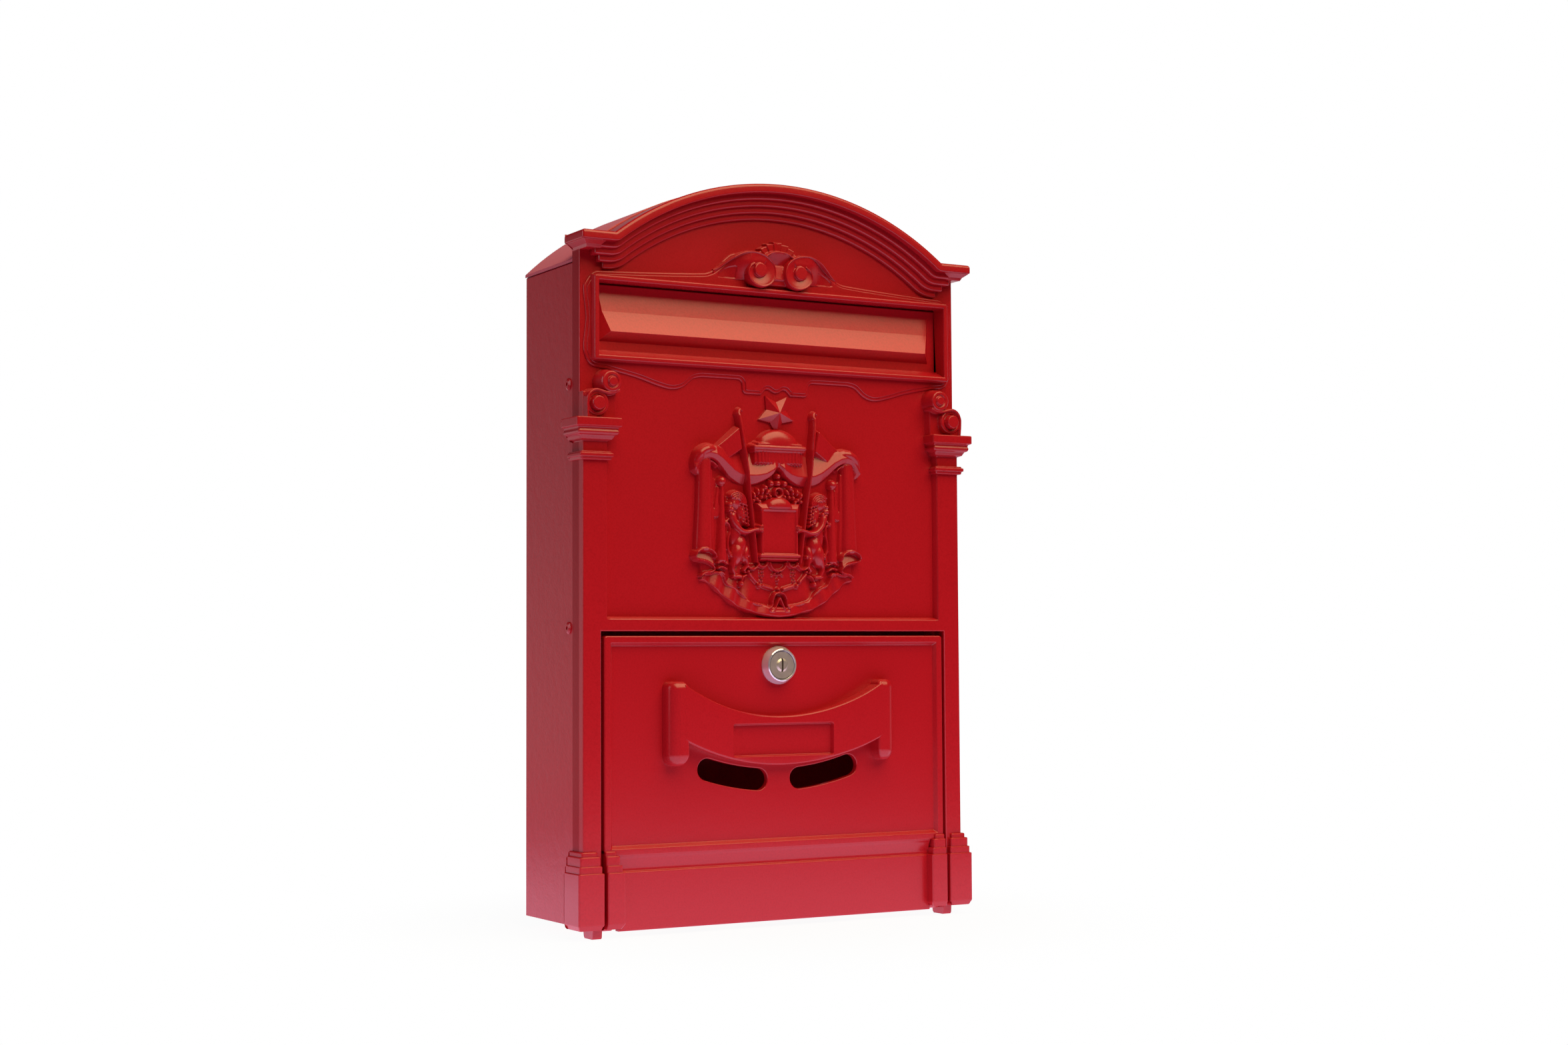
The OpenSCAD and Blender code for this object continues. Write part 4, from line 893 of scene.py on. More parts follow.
# Hanging folds as ropes that widen downwards, tied once, with curled ends.
def makeDrapes(field):
    rope(field, [(45.9, 255), (46.3, 230), (46.8, 203.5)], [4.3, 4.9, 5.9], [4.4, 5.0, 5.4], 0, 2.6,
         above=206.2)
    rope(field, [(41.6, 250), (41.2, 226), (40.6, 205)], [1.2, 1.5, 1.8], [2.2, 2.6, 2.6], above=204)
    rope(field, [(35.3, 243), (35.4, 220), (35.6, 198.6)], [1.5, 2.5, 3.6], [3.4, 4.2, 4.6], 0, 2.2,
         above=200.6)
    rope(field, [(32.2, 236), (32.0, 214), (31.6, 197)], [0.8, 1.1, 1.5], [1.5, 1.9, 2.2], above=199)
    slab(field, [(32.5, 196), (52.4, 203), (51, 212), (46, 250), (34, 243)], 1.1, 0.6)
    bead(field, 35.6, 244.4, 2.9, 5.0)
    slab(field, [(37, 241.6), (38, 241.4), (40.7, 224.8), (38.9, 224.2), (37.3, 225)], 2.3, 0.5)
    # curled ends
    rope(field, smoothLine([(52.9, 203.2), (51.4, 205.6), (47.6, 207.2), (43.6, 206.6), (41, 204.6),
                            (40.4, 202.6)], 5),
         0.6, 6.2, 4.0)
    slab(field, smoothLine([(41, 202.8), (42.6, 205.4), (46, 206.9), (50.2, 206.3), (52.6, 203.8),
                            (51.8, 201.6),
                            (48, 200.9), (44, 199.6), (41.4, 197.6)], 3), lambda x,
                          z: 3.4 - 0.3 * (z - 201), 0.4)
    slab(field, [(48.4, 201), (41.0, 199.4), (41.0, 194.6), (48.2, 192.4)], lambda x,
         z: 3.0 - 0.2 * (x - 41), 0.4)
    rope(field, smoothLine([(52.7, 203.8), (52, 201.6), (48.4, 200.8), (44.6, 199.8), (41.6, 197.8),
                            (40.7, 196),
                            (42.2, 194.7), (46, 194.1), (48.4, 192.5)], 5), 0.62, [5.6, 5.4, 5.0, 4.6, 4.2],
                          2.2)
    for z, x0, x1 in ((199.8, 32.3, 38.4), (196.9, 32.8, 38.0), (194.0, 34.2, 37.6)):
        rope(field, smoothLine([(x0, z - 0.7), ((x0 + x1) / 2, z + 0.5), (x1, z - 0.2)], 5), 0.6, 3.8, 1.4)


hemBand = {
    "outer": [(48.4, 190.4), (44, 188.8), (39.6, 185.5), (35, 181.8), (31, 178.9), (25.5, 175.7), (20, 173.7),
              (13, 171.9), (6, 170.7), (0, 170.2)],
    "inner": [(0, 175.3), (6, 175.4), (9, 176.3), (14, 177.1), (19, 178.9), (22.4, 181.6), (25.4, 184.3),
              (28.2, 186.1), (31.8, 187.6), (33.4, 190), (34.4, 192.2), (36.2, 193.8), (38.8, 194.5),
              (41.5, 193.8),
              (44.6, 193.5), (47.4, 192.3)],
    "ridges": (5.4, 17.4, 29.2, 40.4, 51.0),  # where a fold stands out most
    "hollows": (12.0, 24.4, 36.0, 46.6),
}


# A folded band: its height zigzags softly between ridges and hollows.
def makeHem(field):
    h = hemBand
    places = sorted([(x, 3.9) for x in h["ridges"]] + [(x, 1.5) for x in h["hollows"]])
    px, pp = np.array(places).T

    def level(x, z):
        lean = x + 0.35 * (z - 182)
        fold = sum(np.interp(lean + k, px, pp) for k in (-1.6, -0.8, 0, 0.8, 1.6)) / 5
        return fold - 0.10 * (z - 180)
    outer, inner = smoothLine(h["outer"], 4), smoothLine(h["inner"], 4)
    slab(field, np.vstack([outer, [(-3, 170.2), (-3, 175.3)], inner]), level, 0.5)
    def inside(x, z):
        return 1.2 + (level(x, z) - 2.5) * ease((x - 13) / 9)
    slab(field, np.vstack([inner, [(38, 200), (-3, 200), (-3, 175.3)]]), inside, 0.4)
    rope(field, inner[:-4], 0.5, 3.3, 1.5)


# A low dome over three rings and a pleated skirt: its folds follow |cos x|.
def makeCap(field):
    boss(field, 0, 264.6, 13.4, 9.7, 6.2, 1.8, power=3.2, above=264.6)
    rope(field, [(-3, 265.7), (13.7, 265.7)], 0.75, 6.0, 4.6)
    rope(field, [(-3, 263.9), (15.9, 263.9)], 1.35, 6.6, 4.4)
    rope(field, [(-3, 262.2), (15.7, 262.2)], 0.6, 5.7, 4.4)

    def pleats(x, z):
        fold = np.abs(np.cos(x * math.pi / 2.15)) * (0.4 + 0.6 * ease((x - 5) / 5))
        return 4.6 + 0.75 * fold - 1.3 * ease((x - 11) / 5)
    x = np.arange(-2.1, 15.6, 0.35)
    scallops = np.stack([x, 254.5 + 0.7 * np.abs(np.sin(x * math.pi / 2.15))], 1)
    slab(field, np.vstack([scallops, [(15.8, 256), (15.6, 262.4), (-2.1, 262.4)]]), pleats, 0.7)


# A flag that leans out a little, with a rib along its upper edge.
def makePennant(field):
    def level(x, z):
        return 4.3 + 0.05 * (z - 262) - 0.05 * (x - 30)
    corners = [(25.6, 274.2), (40.5, 262), (34.4, 255.4), (23.4, 262.6)]
    slab(field, filleted(corners, [0.3, 0.8, 0.8, 0.3], 4), level, 0.4)
    rope(field, [(25.6, 274.0), (40.2, 262.1)], 0.45, [2.9, 4.5], 1.6)


# A standing beast seen from the side, with a curled mane, holding the shield.
def makeBeast(field):
    boss(field, 26.2, 216.5, 4.0, 9.0, 3.9, 0, 8)
    boss(field, 27.2, 233.2, 4.6, 5.0, 4.9)
    boss(field, 23.6, 227.2, 3.9, 7.4, 4.4, 0, -14)
    boss(field, 30.6, 230.6, 1.9, 1.7, 4.6)
    for x, z in ((31.4, 228.6), (30.6, 227.0), (29.4, 235.6), (28.8, 232.4)):
        bead(field, x, z, 0.9, 5.0)
    for r in (2.0, 3.1, 4.2, 5.3):
        rope(field, arcLine(26.6, 233.2, r, 62 - 4 * r, 196, 12), 0.62, 5.9 - 0.18 * r, 3.6)
    for i in range(6):
        for j in range(3):
            x, z = 19.2 + 1.9 * j + 0.25 * i, 220.6 + 2.1 * i + 0.8 * j
            rope(field, smoothLine([(x, z), (x + 0.9, z + 0.9), (x + 0.6, z + 1.9)], 3), 0.5, 5.0 - 0.2 * j,
                 3.4)
    for x, z, r in ((30.9, 231.6, 1.2), (29.9, 229.0, 1.3), (28.4, 227.4, 1.1), (31.2, 229.6, 0.9)):
        bead(field, x, z, r, 5.2)
    rope(field, smoothLine([(29.2, 225.4), (27.6, 221), (24.2, 217.6), (20.4, 216.8), (16.6, 217.9),
                            (12.8, 218.5)], 5),
         [2.3, 1.9, 1.7, 1.25, 1.15], [5.4, 6.0, 6.2, 6.0, 6.2], 2.4)
    boss(field, 12.0, 218.9, 1.9, 1.5, 6.4, 4.0)
    for z in (217.8, 218.9, 220.0):
        rope(field, [(11.2, z), (13.4, z)], 0.5, 6.8, 5.2)
    boss(field, 20.6, 204.8, 2.4, 5.4, 3.9, 0, 12)
    boss(field, 24.2, 209.6, 4.6, 6.4, 4.9, 0, 4)
    boss(field, 26.0, 205.0, 4.3, 7.6, 5.5, 0, 10)
    rope(field, smoothLine([(27.8, 201.5), (28.9, 197), (27.4, 193.2)], 5), [2.2, 1.5, 1.3], [4.8, 4.2, 3.8])
    rope(field, [(28.4, 192.4), (24.0, 192.2)], [1.2, 1.35], [3.8, 4.0])
    rope(field, smoothLine([(20.4, 202.2), (19.6, 198.6), (21.4, 195.9)], 5), [1.8, 1.1, 1.2],
         [4.0, 3.6, 3.2])
    rope(field, smoothLine([(30.2, 203.5), (31.9, 208), (31.6, 213), (30.6, 217), (31, 220.4), (32.7, 222.2),
                            (31.6, 223.6)], 5), [1.1, 0.9, 0.8, 1.0], [3.6, 3.6, 3.4, 3.8])
    bead(field, 32.9, 222.0, 1.1, 3.8)


# A plain field in a frame, with a dome on top.
def makeShield(field):
    slab(field, [(-3, 202.4), (12, 202.4), (12, 230.6), (-3, 230.6)], 4.2, 0.5)
    for path in ([(11.0, 204.4), (11.0, 229.4)], [(-2, 229.6), (11.4, 229.6)]):
        rope(field, path, 0.8, 5.1, 3.9, 3)
    rope(field, [(-3, 203.9), (12.4, 203.9)], 1.0, 6.0, 3.8, 3)
    rope(field, [(-3, 202.2), (11.8, 202.2)], 0.7, 4.9, 3.4)
    slab(field, [(-3, 230.2), (11.9, 230.2), (13.9, 232.9), (-3, 232.9)], lambda x,
         z: 5.2 - 0.8 * (z - 230.2), 0.35)
    boss(field, 0, 230.8, 8.0, 5.6, 7.0, 3.6, power=2.4, above=230.6)


# A ring under rows of beads and leaves.
def makeCoronet(field):
    rope(field, arcLine(0, 239, 2.45, 90, -90, 12), 0.8, 4.6, 1.8)
    boss(field, 0, 239, 1.3, 1.3, 2.4, 1.4)
    for x, z, r in ((0, 248.1, 1.45), (0, 244.2, 1.8), (4.3, 244.1, 1.8), (8.0, 241.7, 1.35)):
        bead(field, x, z, r, 4.4)
    boss(field, 0, 238.4, 12.5, 4.6, 1.3)
    for x, z, turn in ((6.2, 239.3, 40), (9.6, 239.5, 10), (12.5, 239.3, -5), (15.0, 237.4, -20)):
        boss(field, x, z, 1.15, 2.3, 3.8, 1.0, turn)
    for x, z in ((4.6, 236.9), (7.4, 236.6), (10.2, 236.3), (13.0, 235.2), (15.2, 234.3), (11.4, 233.9)):
        bead(field, x, z, 1.0, 3.4)


# Links as arcs, beads between them and a knot with two loops.
def makeChain(field):
    for x, z, r in ((0, 200.8, 5.3), (9.7, 200.6, 2.9), (16.2, 200.2, 3.7)):
        rope(field, arcLine(x, z, r, -172, -8, 14)[:: 1 if x else -1], 0.7, 3.7, 0.6)
    for x, z, r in ((18.7, 203.6, 1.2), (13.6, 202.6, 1.0), (6.3, 201.2, 0.9), (20.2, 200.8, 0.9),
                    (9.4, 195.2, 0.85), (11.1, 195.1, 0.85), (9.2, 193.3, 0.85), (11.0, 193.2, 0.85),
                    (10.2, 191.5, 0.9), (9.8, 189.8, 0.75), (11.3, 190.2, 0.6), (0, 190.6, 1.1),
                    (2.0, 194.1, 0.9),
                    (3.3, 193.0, 0.75), (0, 188.9, 0.7), (0, 193.4, 0.8), (0, 185.3, 1.4), (12.1, 187.3, 1.5),
                    (23.4, 188.2, 1.7), (18.6, 195.2, 1.1), (20.6, 194.6, 0.9)):
        bead(field, x, z, r)
    rope(field, [(3.4, 185.5), (9.6, 187.3)], 1.2, 3.2)
    rope(field, [(14.0, 189.5), (18.0, 193.6)], 1.15, 3.2)
    rope(field, smoothLine([(23.2, 190), (22, 192), (20.2, 193)], 4), 0.7, 3.4)
    # knot with its two loops
    rope(field, smoothLine([(0, 183.6), (2.8, 182.6), (4.3, 179.8), (4.8, 176.6), (6.5, 174.6), (5.9, 172.9),
                            (4.0, 173.2), (2.6, 175.6), (0.8, 179.2), (0, 180.4)], 5), 0.68, 5.2, 2.0)
    rope(field, [(0, 172.8), (5.2, 172.8)], 0.8, 4.9, 2.4)
    rope(field, [(0, 174.6), (3.2, 174.6)], 0.5, 4.2, 2.6)


# A grid of points made solid: its rim goes back by a depth and is closed by a flat cap.
def sheetSolid(top, depth):
    k, m = top.shape[:2]
    index = np.arange(k * m).reshape(k, m)
    rim = np.concatenate([index[0, :-1], index[:-1, -1], index[-1, :0:-1], index[:0:-1, 0]])
    back = top.reshape(-1, 3)[rim].copy()
    back[:, 1] = case["faceY"] + depth
    verts = np.vstack([top.reshape(-1, 3), back])
    ring = k * m + np.arange(len(rim))
    quads = np.stack([index[:-1, :-1], index[:-1, 1:], index[1:, 1:], index[1:, :-1]], -1).reshape(-1, 4)
    skirt = np.stack([np.roll(rim, -1), rim, ring, np.roll(ring, -1)], -1)
    cap = ring[np.array(tessellate_polygon([[Vector((p[0], p[2], 0)) for p in back]]), int)]
    a, b, c = verts[cap[0]]
    if np.cross(b - a, c - a)[1] * np.cross(*(verts[quads[0, [1, 3]]] - verts[quads[0, 0]]))[1] > 0:
        cap = cap[:, ::-1]
    return verts, np.vstack([quads, skirt]), cap


# A height field and its mirror image as one solid.
def fieldSolid(field, depth):
    p = np.concatenate([field["p"][:0:-1], field["p"]])
    x = np.concatenate([-field["x"][:0:-1], field["x"]])
    z = np.concatenate([field["z"][:0:-1], field["z"]])
    return sheetSolid(toFrame(x, p, z), depth)


volute = {
    "low": 274.4, "high": 303, "reach": 123, "step": 0.25, "under": -0.45, "draft": 5.0,
    "small": (105.2, 295.1), "smallRadius": 5.7, "big": (113.2, 283.2), "bigRadius": 6.8, "eye": 3.8,
}


# A small roll above a large one, joined by a band that swings round the large one.
def makeVolutes():
    v = volute
    field = newField(v)
    (sx, sz), (bx, bz) = v["small"], v["big"]
    slab(field, [(100.8, 272), (122, 272), (122, 282), (118, 288), (112, 289.6), (104, 289.6),
                 (100.8, 289.6)], 4.7, 0.5)
    disc(field, sx, sz, v["smallRadius"], 9.4, 0.9)
    disc(field, bx, bz, v["bigRadius"], 8.0, 0.9)
    slab(field, [(bx + 6, 272), (bx + 7.3, 282), (bx - 3, 284), (bx + 1, 272)], 7.2, 0.5)
    band = [(100.4, 290.6), (103.6, 289.3), (107.4, 289.0), (111, 289.8), (114.6, 290.2), (117.8, 288.2),
            (119.4, 284), (119.2, 279), (118.6, 273)]
    rope(field, smoothLine(band, 5), 1.15, [8.6, 9.0, 9.2, 9.2, 9.2, 9.2, 9.0, 9.0, 9.0], 0, 4)
    disc(field, bx, bz, v["eye"], 10.9, 0.7)
    disc(field, sx - 0.3, sz, 2.5, 10.3, 0.5)
    for x, z, r, depth in ((sx - 0.3, sz, 3.1, 0.5), (bx, bz, v["eye"] + 0.5, 0.8)):
        ring = np.hypot(field["x"] - x, field["z"] - z)
        field["p"] -= depth * np.clip(1 - ((ring - r) / 0.6) ** 2, 0, 1) * (field["p"] > 6)
    part = slice(int(97 / v["step"]), int((case["halfWidth"] - 0.1) / v["step"]) + 1)
    top = toFrame(field["x"][part], field["p"][part], field["z"][part])
    castPiece("volutes", onBoth([sheetSolid(top, 1.2)]), crease=85)


# All the carving on the panel in one height field.
def makeOrnament():
    field = newField(ornament)
    for build in (makeHem, makeDrapes, makeCanopy, makeCap, makePennant, makeCoronet, makeShield, makeBeast,
                  makeChain):
        build(field)
    castPiece("panel_ornament", [fieldSolid(field, 1.4)], crease=85)


crest = {
    "low": 350.8, "high": 381.6, "reach": 40.0, "step": 0.25, "under": -0.45, "draft": 5.0,
    "x": 13.0, "z": 362.4, "front": 8.0, "eye": 3.9,
    "tail": [(27.5, -2.0), (23.6, 0.1), (19.4, 3.4), (15, 6.4), (10.6, 8.6)],  # from the eye outwards and up
    "spiral": [(5.6, 9.7), (0, 9.2), (-4.8, 7.3), (-8.3, 3.9), (-9.6, -0.5), (-8.7, -4.7), (-5.8, -7.8),
               (-1.6, -9.0),
               (3.1, -8.0), (6.4, -5.3), (7.6, -2.0), (6.4, 1.4), (3.7, 3.4)],
}


# Two scrolls that rise from the raised plate and curl in, with a shell between them.
def makeCrest():
    c = crest
    field = newField(c)
    eye, front = np.array([c["x"], c["z"]]), c["front"]
    tail, spiral = eye + c["tail"], eye + c["spiral"]

    def ramp(x, z):
        return 1.6 + (front - 2.2) * ease((34 - x) / 16) * ease((z - 353) / 15)

    def dish(x, z):
        r = np.hypot(x - eye[0], z - eye[1])
        return front - 0.5 - 1.3 * ease((9.4 - r) / 7.5)

    def shell(x, z):
        e = np.hypot(x / 14, (z - 364) / 15.2)
        turn = np.arctan2(x, z - 364)
        rib = (turn * 3.2 + 0.5 - 0.1 * e) % 1
        return 2.6 + 1.0 * e + 0.55 * rib
    turn = np.radians(np.linspace(-8, 84, 110))
    lobes = 0.95 + 0.07 * ((turn * 3.2 + 0.4) % 1)
    fan = np.stack([15.4 * lobes * np.sin(turn), 364 + 15.4 * lobes * np.cos(turn)], 1)
    slab(field, np.vstack([fan, [(12, 360), (-3, 360)]]), shell, 0.7, 0.1)
    slab(field, [(-3, 366), (7, 366), (7, 357.8), (-3, 357.8)], lambda x, z: 4.7 + 0.10 * (366 - z), 0.5)
    slab(field, [(-3, 359), (8, 359), (8, 354.6), (-3, 354.6)], 4.4, 0.8)
    hood = [(-3, 372.9), (0, 373.2), (4.5, 372.6), (9.2, 370.2), (7.4, 367.4), (3.4, 365.4), (-3, 365.2)]
    slab(field, hood, lambda x, z: 2.9 + 0.56 * (z - 365), 0.5)
    rope(field, smoothLine([(-2, 373.3), (2, 373.2), (5.4, 372.5), (9.4, 370.0)], 4), 0.75, 7.4, 5.0)
    edge = smoothLine(np.vstack([tail, spiral[:3]]), 6)
    slab(field, np.vstack([edge, [(14, 357), (37, 356)]]), ramp, 0.5)
    slab(field, smoothLine(spiral[:-1], 5, closed=True), dish, 0.6)
    rope(field, smoothLine(np.vstack([tail, spiral]), 6), 0.85,
         [1.4, 2.8, 4.6, 6.4, 7.4] + [front] * 12, 0.0, 2.6)
    disc(field, *eye, c["eye"], front + 0.3, 0.55)
    sink(field, filleted([(26.0, 357.4), (37.0, 357.4), (35.8, 359.8), (32.8, 362.2), (29.6, 363.6),
                          (26.0, 364.2)],
                         [0.8, 0.8, 2, 2, 2, 0.8]), 0.5, 0.5)
    castPiece("crest", [fieldSolid(field, 1.2)], crease=85)


star = {"z": 283.4, "outer": 11.9, "inner": 6.5, "rim": 1.3, "peak": 5.6}


# A five-pointed star with one point down: an upright rim, then ten facets that meet in the middle.
def makeStar():
    s = star
    turn = np.radians(-90 + 36 * np.arange(10))
    r = np.where(np.arange(10) % 2 == 0, s["outer"], s["inner"])
    loop = np.stack([r * np.cos(turn), r * np.sin(turn)], 1)
    rows = [toFrame(loop[:, 0] * k, p, s["z"] + loop[:, 1] * k)
            for k, p in ((1.0, -0.4), (1.0, s["rim"] - 0.1), (0.985, s["rim"]), (0.02, s["peak"]))]
    castPiece("star", [stackSolid([np.stack(rows)])], crease=12)


lance = {
    "path": [(13.9, 200), (15.7, 215), (18.1, 234), (20.2, 250), (21.7, 262), (24.0, 279)],
    "height": [4.6, 5.0, 5.4, 6.6, 5.8, 4.2, 3.6, 3.0, 2.2],
    "half": [1.5, 1.6, 1.6, 1.7, 1.8, 2.2, 2.5, 1.9, 0.7],
}


# Two ridged poles whose tips both bend to the right.
def makeLances():
    c = lance
    parts = []
    for side in (1, -1):
        path = [(side * x, z) for x, z in c["path"]]
        x, z = path[-1]
        path += [(x - 0.6, z + 3.2), (x + 0.4, z + 5.4), (x + 2.3, z + 4.8)]
        line = smoothLine(path, 6)
        at, steps = np.linspace(0, 1, len(path)), np.linspace(0, 1, len(line))
        height, half = np.interp(steps, at, c["height"]), np.interp(steps, at, c["half"])
        along = np.gradient(line, axis=0)
        along /= np.linalg.norm(along, axis=1, keepdims=True)
        across2 = np.stack([along[:, 1], -along[:, 0]], 1)
        a = np.array([-1, -1, -0.62, -0.36, -0.1, 0.18, 0.42, 0.66, 1, 1])
        h = np.array([-0.12, 0, 0.62, 0.9, 1.0, 0.98, 0.86, 0.6, 0, -0.12])
        spot = line[:, None] + across2[:, None] * (a[:, None] * half[:, None, None])
        parts.append(stackSolid([toFrame(spot[..., 0], h * height[:, None], spot[..., 1])]))
    castPiece("lances", parts, crease=50)


# door

door = {
    "halfWidth": doorHigh.x / mm, "bottom": doorLow.z / mm, "top": doorHigh.z / mm,
    "railLow": 43.0, "border": 3.7, "projection": 4.5, "field": 2.0, "back": -1.45, "corner": 1.6,
    "lockZ": 143.4, "lockRadius": 8.6, "blockWidth": 10.6,
}
banner = {
    "middle": 231.6, "lowRadius": 143.1, "topRadius": 117.9, "height": 27,
    "viewRadius": 151.3, "viewHalf": 6.0, "viewFrom": 5.0, "viewTo": 17.2,
}


# Curved slot with round ends, about the banner's own middle.
def viewSlotOutline():
    b = banner
    a0, a1, cz = b["viewFrom"] - 90, b["viewTo"] - 90, b["middle"]
    r, h = b["viewRadius"], b["viewHalf"]
    ends = [(r * math.cos(math.radians(a)), cz + r * math.sin(math.radians(a))) for a in (a0, a1)]
    outer = arcLine(0, cz, r + h, a0, a1, 24)
    right = arcLine(*ends[1], h, a1, a1 + 180, 14)[1:-1]
    inner = arcLine(0, cz, r - h, a1, a0, 24)
    left = arcLine(*ends[0], h, a0 + 180, a0 + 360, 14)[1:-1]
    return np.vstack([outer, right, inner, left])


def makeDoorPanel():
    d = door
    w, low, top = d["halfWidth"], d["railLow"], d["top"]
    p, f = d["projection"], d["field"]
    profile = filleted([(0, d["back"]), (0, p), (d["border"], p), (d["border"] + 1.6, f),
                        (d["border"] + 2.6, f)],
                       [0, 0.8, 0.6, 0.5, 0], 6, False)
    rings = []
    for inset, depth in profile:
        loop = rectangle(-w + inset, w - inset, low + inset, top - inset, max(d["corner"] - inset * 0.25,
                                                                              0.5), 6)
        rings.append(toFrame(loop[:, 0], depth, loop[:, 1]))
    stacks = [np.stack(rings)]
    view = viewSlotOutline()
    holes = [view, flipped(view), arcLine(0, d["lockZ"], d["lockRadius"], 0, 360, 41)[:-1]]
    for hole, edge in zip(holes, (0.6, 0.6, 0.1)):
        if turnsLeft(hole):
            hole = hole[::-1]
        cut = roundEdge(f, d["back"], edge)
        flat = hole - cut[:, 0, None, None] * awayFrom(hole)
        stacks.append(toFrame(flat[..., 0], cut[:, 1, None], flat[..., 1]))
    castPiece("door_panel", [stackSolid(stacks)], "door", stands=("door_casting",))


# Moulding across the door's foot, between its blocks.
def makePlinth():
    d = door
    z = d["bottom"]
    low = d["railLow"]
    profile = filleted([(d["back"], z), (3.0, z), (3.0, z + 31), (1.9, z + 31.6), (1.8, z + 33.2),
                        (3.4, low - 1.4),
                        (4.1, low - 0.2), (4.4, low + 0.8), (d["back"], low + 0.8)],
                       [0, 0.8, 0.7, 0.5, 2.5, 2.5, 0.6, 0, 0], 6)
    castPiece("door_plinth", [across(98.6, profile)], "door")


# The base blocks' inner part, which rides on the door.
def makeDoorBlocks():
    d = door

    def plan(q):
        inside = d["halfWidth"] - d["blockWidth"] + (block["projection"] - q) * 1.4
        return filleted([(inside, d["back"]), (inside, pillar["projection"] + q),
                         (d["halfWidth"], pillar["projection"] + q), (d["halfWidth"], d["back"])],
                        [0, 1.1, 1.1, 0], 5)
    castPiece("door_blocks", onBoth([wrappedSolid(blockProfile(), plan)]), "door")


scroll = {
    "halfWidth": 72.4, "rollInner": 60.2, "rollLow": 89.6, "rollTop": 135.0, "middle": 7.5, "end": 11.2,
    "meet": 62.6,  # where the face runs into the rolls
    "lowRound": 6.4, "topRound": 4.4, "rollX": 65.2, "rollRound": 6.8,
}


# Depth of the banner's face: it bows forward towards its rolls.
def bannerFront(x):
    s = scroll
    t = np.clip((np.abs(x) - 16) / 46, 0, 1)
    return s["middle"] + (s["end"] - s["middle"]) * t * t * (3 - 2 * t)


recess = {"halfWidth": 32.0, "low": 93.4, "top": 111.6, "depth": 2.7, "corner": 1.4, "slope": 0.9}


# Depth of the name-plate recess: 0 outside a rounded rectangle, then a short slope to the full depth.
def recessDepth(x, z):
    r = recess
    dx = np.abs(x) - r["halfWidth"] + r["corner"]
    dz = np.abs(z - (r["low"] + r["top"]) / 2) - (r["top"] - r["low"]) / 2 + r["corner"]
    gap = np.hypot(np.maximum(dx, 0), np.maximum(dz, 0)) + np.minimum(np.maximum(dx, dz), 0) - r["corner"]
    return r["depth"] * ease(-gap / r["slope"])


# Heights of the banner's lower and upper edge: middle - sqrt(radius ** 2 - x ** 2) for each.
def bannerEdges(x):
    b = banner
    lower = b["middle"] - np.sqrt(b["lowRadius"] ** 2 - x ** 2)
    upperMiddle = b["middle"] - b["lowRadius"] + b["height"] + b["topRadius"]
    return lower, upperMiddle - np.sqrt(b["topRadius"] ** 2 - x ** 2)


# The face is a grid whose lines run along the recess's edges, between two curved edges.
def makeBanner():
    s, r = scroll, recess
    edge, root = 1.3, 1.5
    near = r["halfWidth"] - np.array([-0.3, 0, 0.15, 0.3, 0.45, 0.6, 0.75, 0.9, 1.05])
    side = np.concatenate([np.linspace(s["meet"], r["halfWidth"] + 0.8, 46), near])
    x = np.concatenate([-side, np.linspace(-30.6, 30.6, 80), side[::-1]])
    lower, upper = bannerEdges(x)
    steps = np.linspace(-0.2, 1.1, 10)
    levels = np.concatenate([r["low"] + steps, np.linspace(r["low"] + 1.6, r["top"] - 1.6, 9),
                             r["top"] - steps[::-1]])
    held = np.clip(x, -r["halfWidth"] - 0.5, r["halfWidth"] + 0.5)
    heldLow, heldTop = bannerEdges(held)
    part = (levels[:, None] - heldLow) / (heldTop - heldLow)
    t = np.linspace(0, math.pi / 2, 7)
    inset, drop = edge * (1 - np.cos(t)), edge * (1 - np.sin(t))
    front = bannerFront(x) + 0.03
    rows = [toFrame(x, root, lower)] + [toFrame(x, front - k, lower + i) for i,
                                        k in zip(inset[:-1], drop[:-1])]
    for f in part:
        z = np.clip(lower + (upper - lower) * f, lower + edge * 0.72, upper - edge * 0.72)
        gap = np.minimum(z - lower, upper - z)
        fall = edge - np.sqrt(np.clip(edge ** 2 - np.clip(edge - gap, 0, edge) ** 2, 0, None))
        rows.append(toFrame(x, front - fall - recessDepth(x, z), z))
    rows += [toFrame(x, front - k, upper - i) for i, k in zip(inset[-2::-1], drop[-2::-1])]
    rows += [toFrame(x, root, upper)]
    parts = [stackSolid([np.stack(rows, 1)])]
    # rolls
    lowRound, topRound, bow = s["lowRound"], s["topRound"], s["rollRound"]
    e = np.linspace(0, math.pi / 2, 10)
    shrink, rise = 1 - np.sin(e), 1 - np.cos(e)
    z = np.concatenate([s["rollLow"] + lowRound * rise, s["rollTop"] - topRound * rise[::-1]])
    shrink = np.concatenate([lowRound * shrink, topRound * shrink[::-1]])[:, None]
    turn = np.linspace(math.pi / 2, 0, 14)
    inner = filleted([(s["rollInner"], root), (s["rollInner"], s["end"]), (66, s["end"])], [0, 1.4, 0], 6,
                     False)
    outer = np.stack([s["rollX"] + bow * np.cos(turn), s["end"] - bow + bow * np.sin(turn)], 1)
    section = np.vstack([[(s["rollInner"], root)], inner[1:], outer[1:], [(s["halfWidth"], root)]])
    middle, half = (s["rollInner"] + s["halfWidth"]) / 2, (s["halfWidth"] - s["rollInner"]) / 2
    sx = middle + (section[:, 0] - middle) * (1 - shrink / half * 0.78)
    sp = root + (section[:, 1] - root) * (1 - shrink / 11)
    parts += onBoth([stackSolid([toFrame(sx, sp, z[:, None])])])
    castPiece("banner", parts, "door")


# carried-over pieces

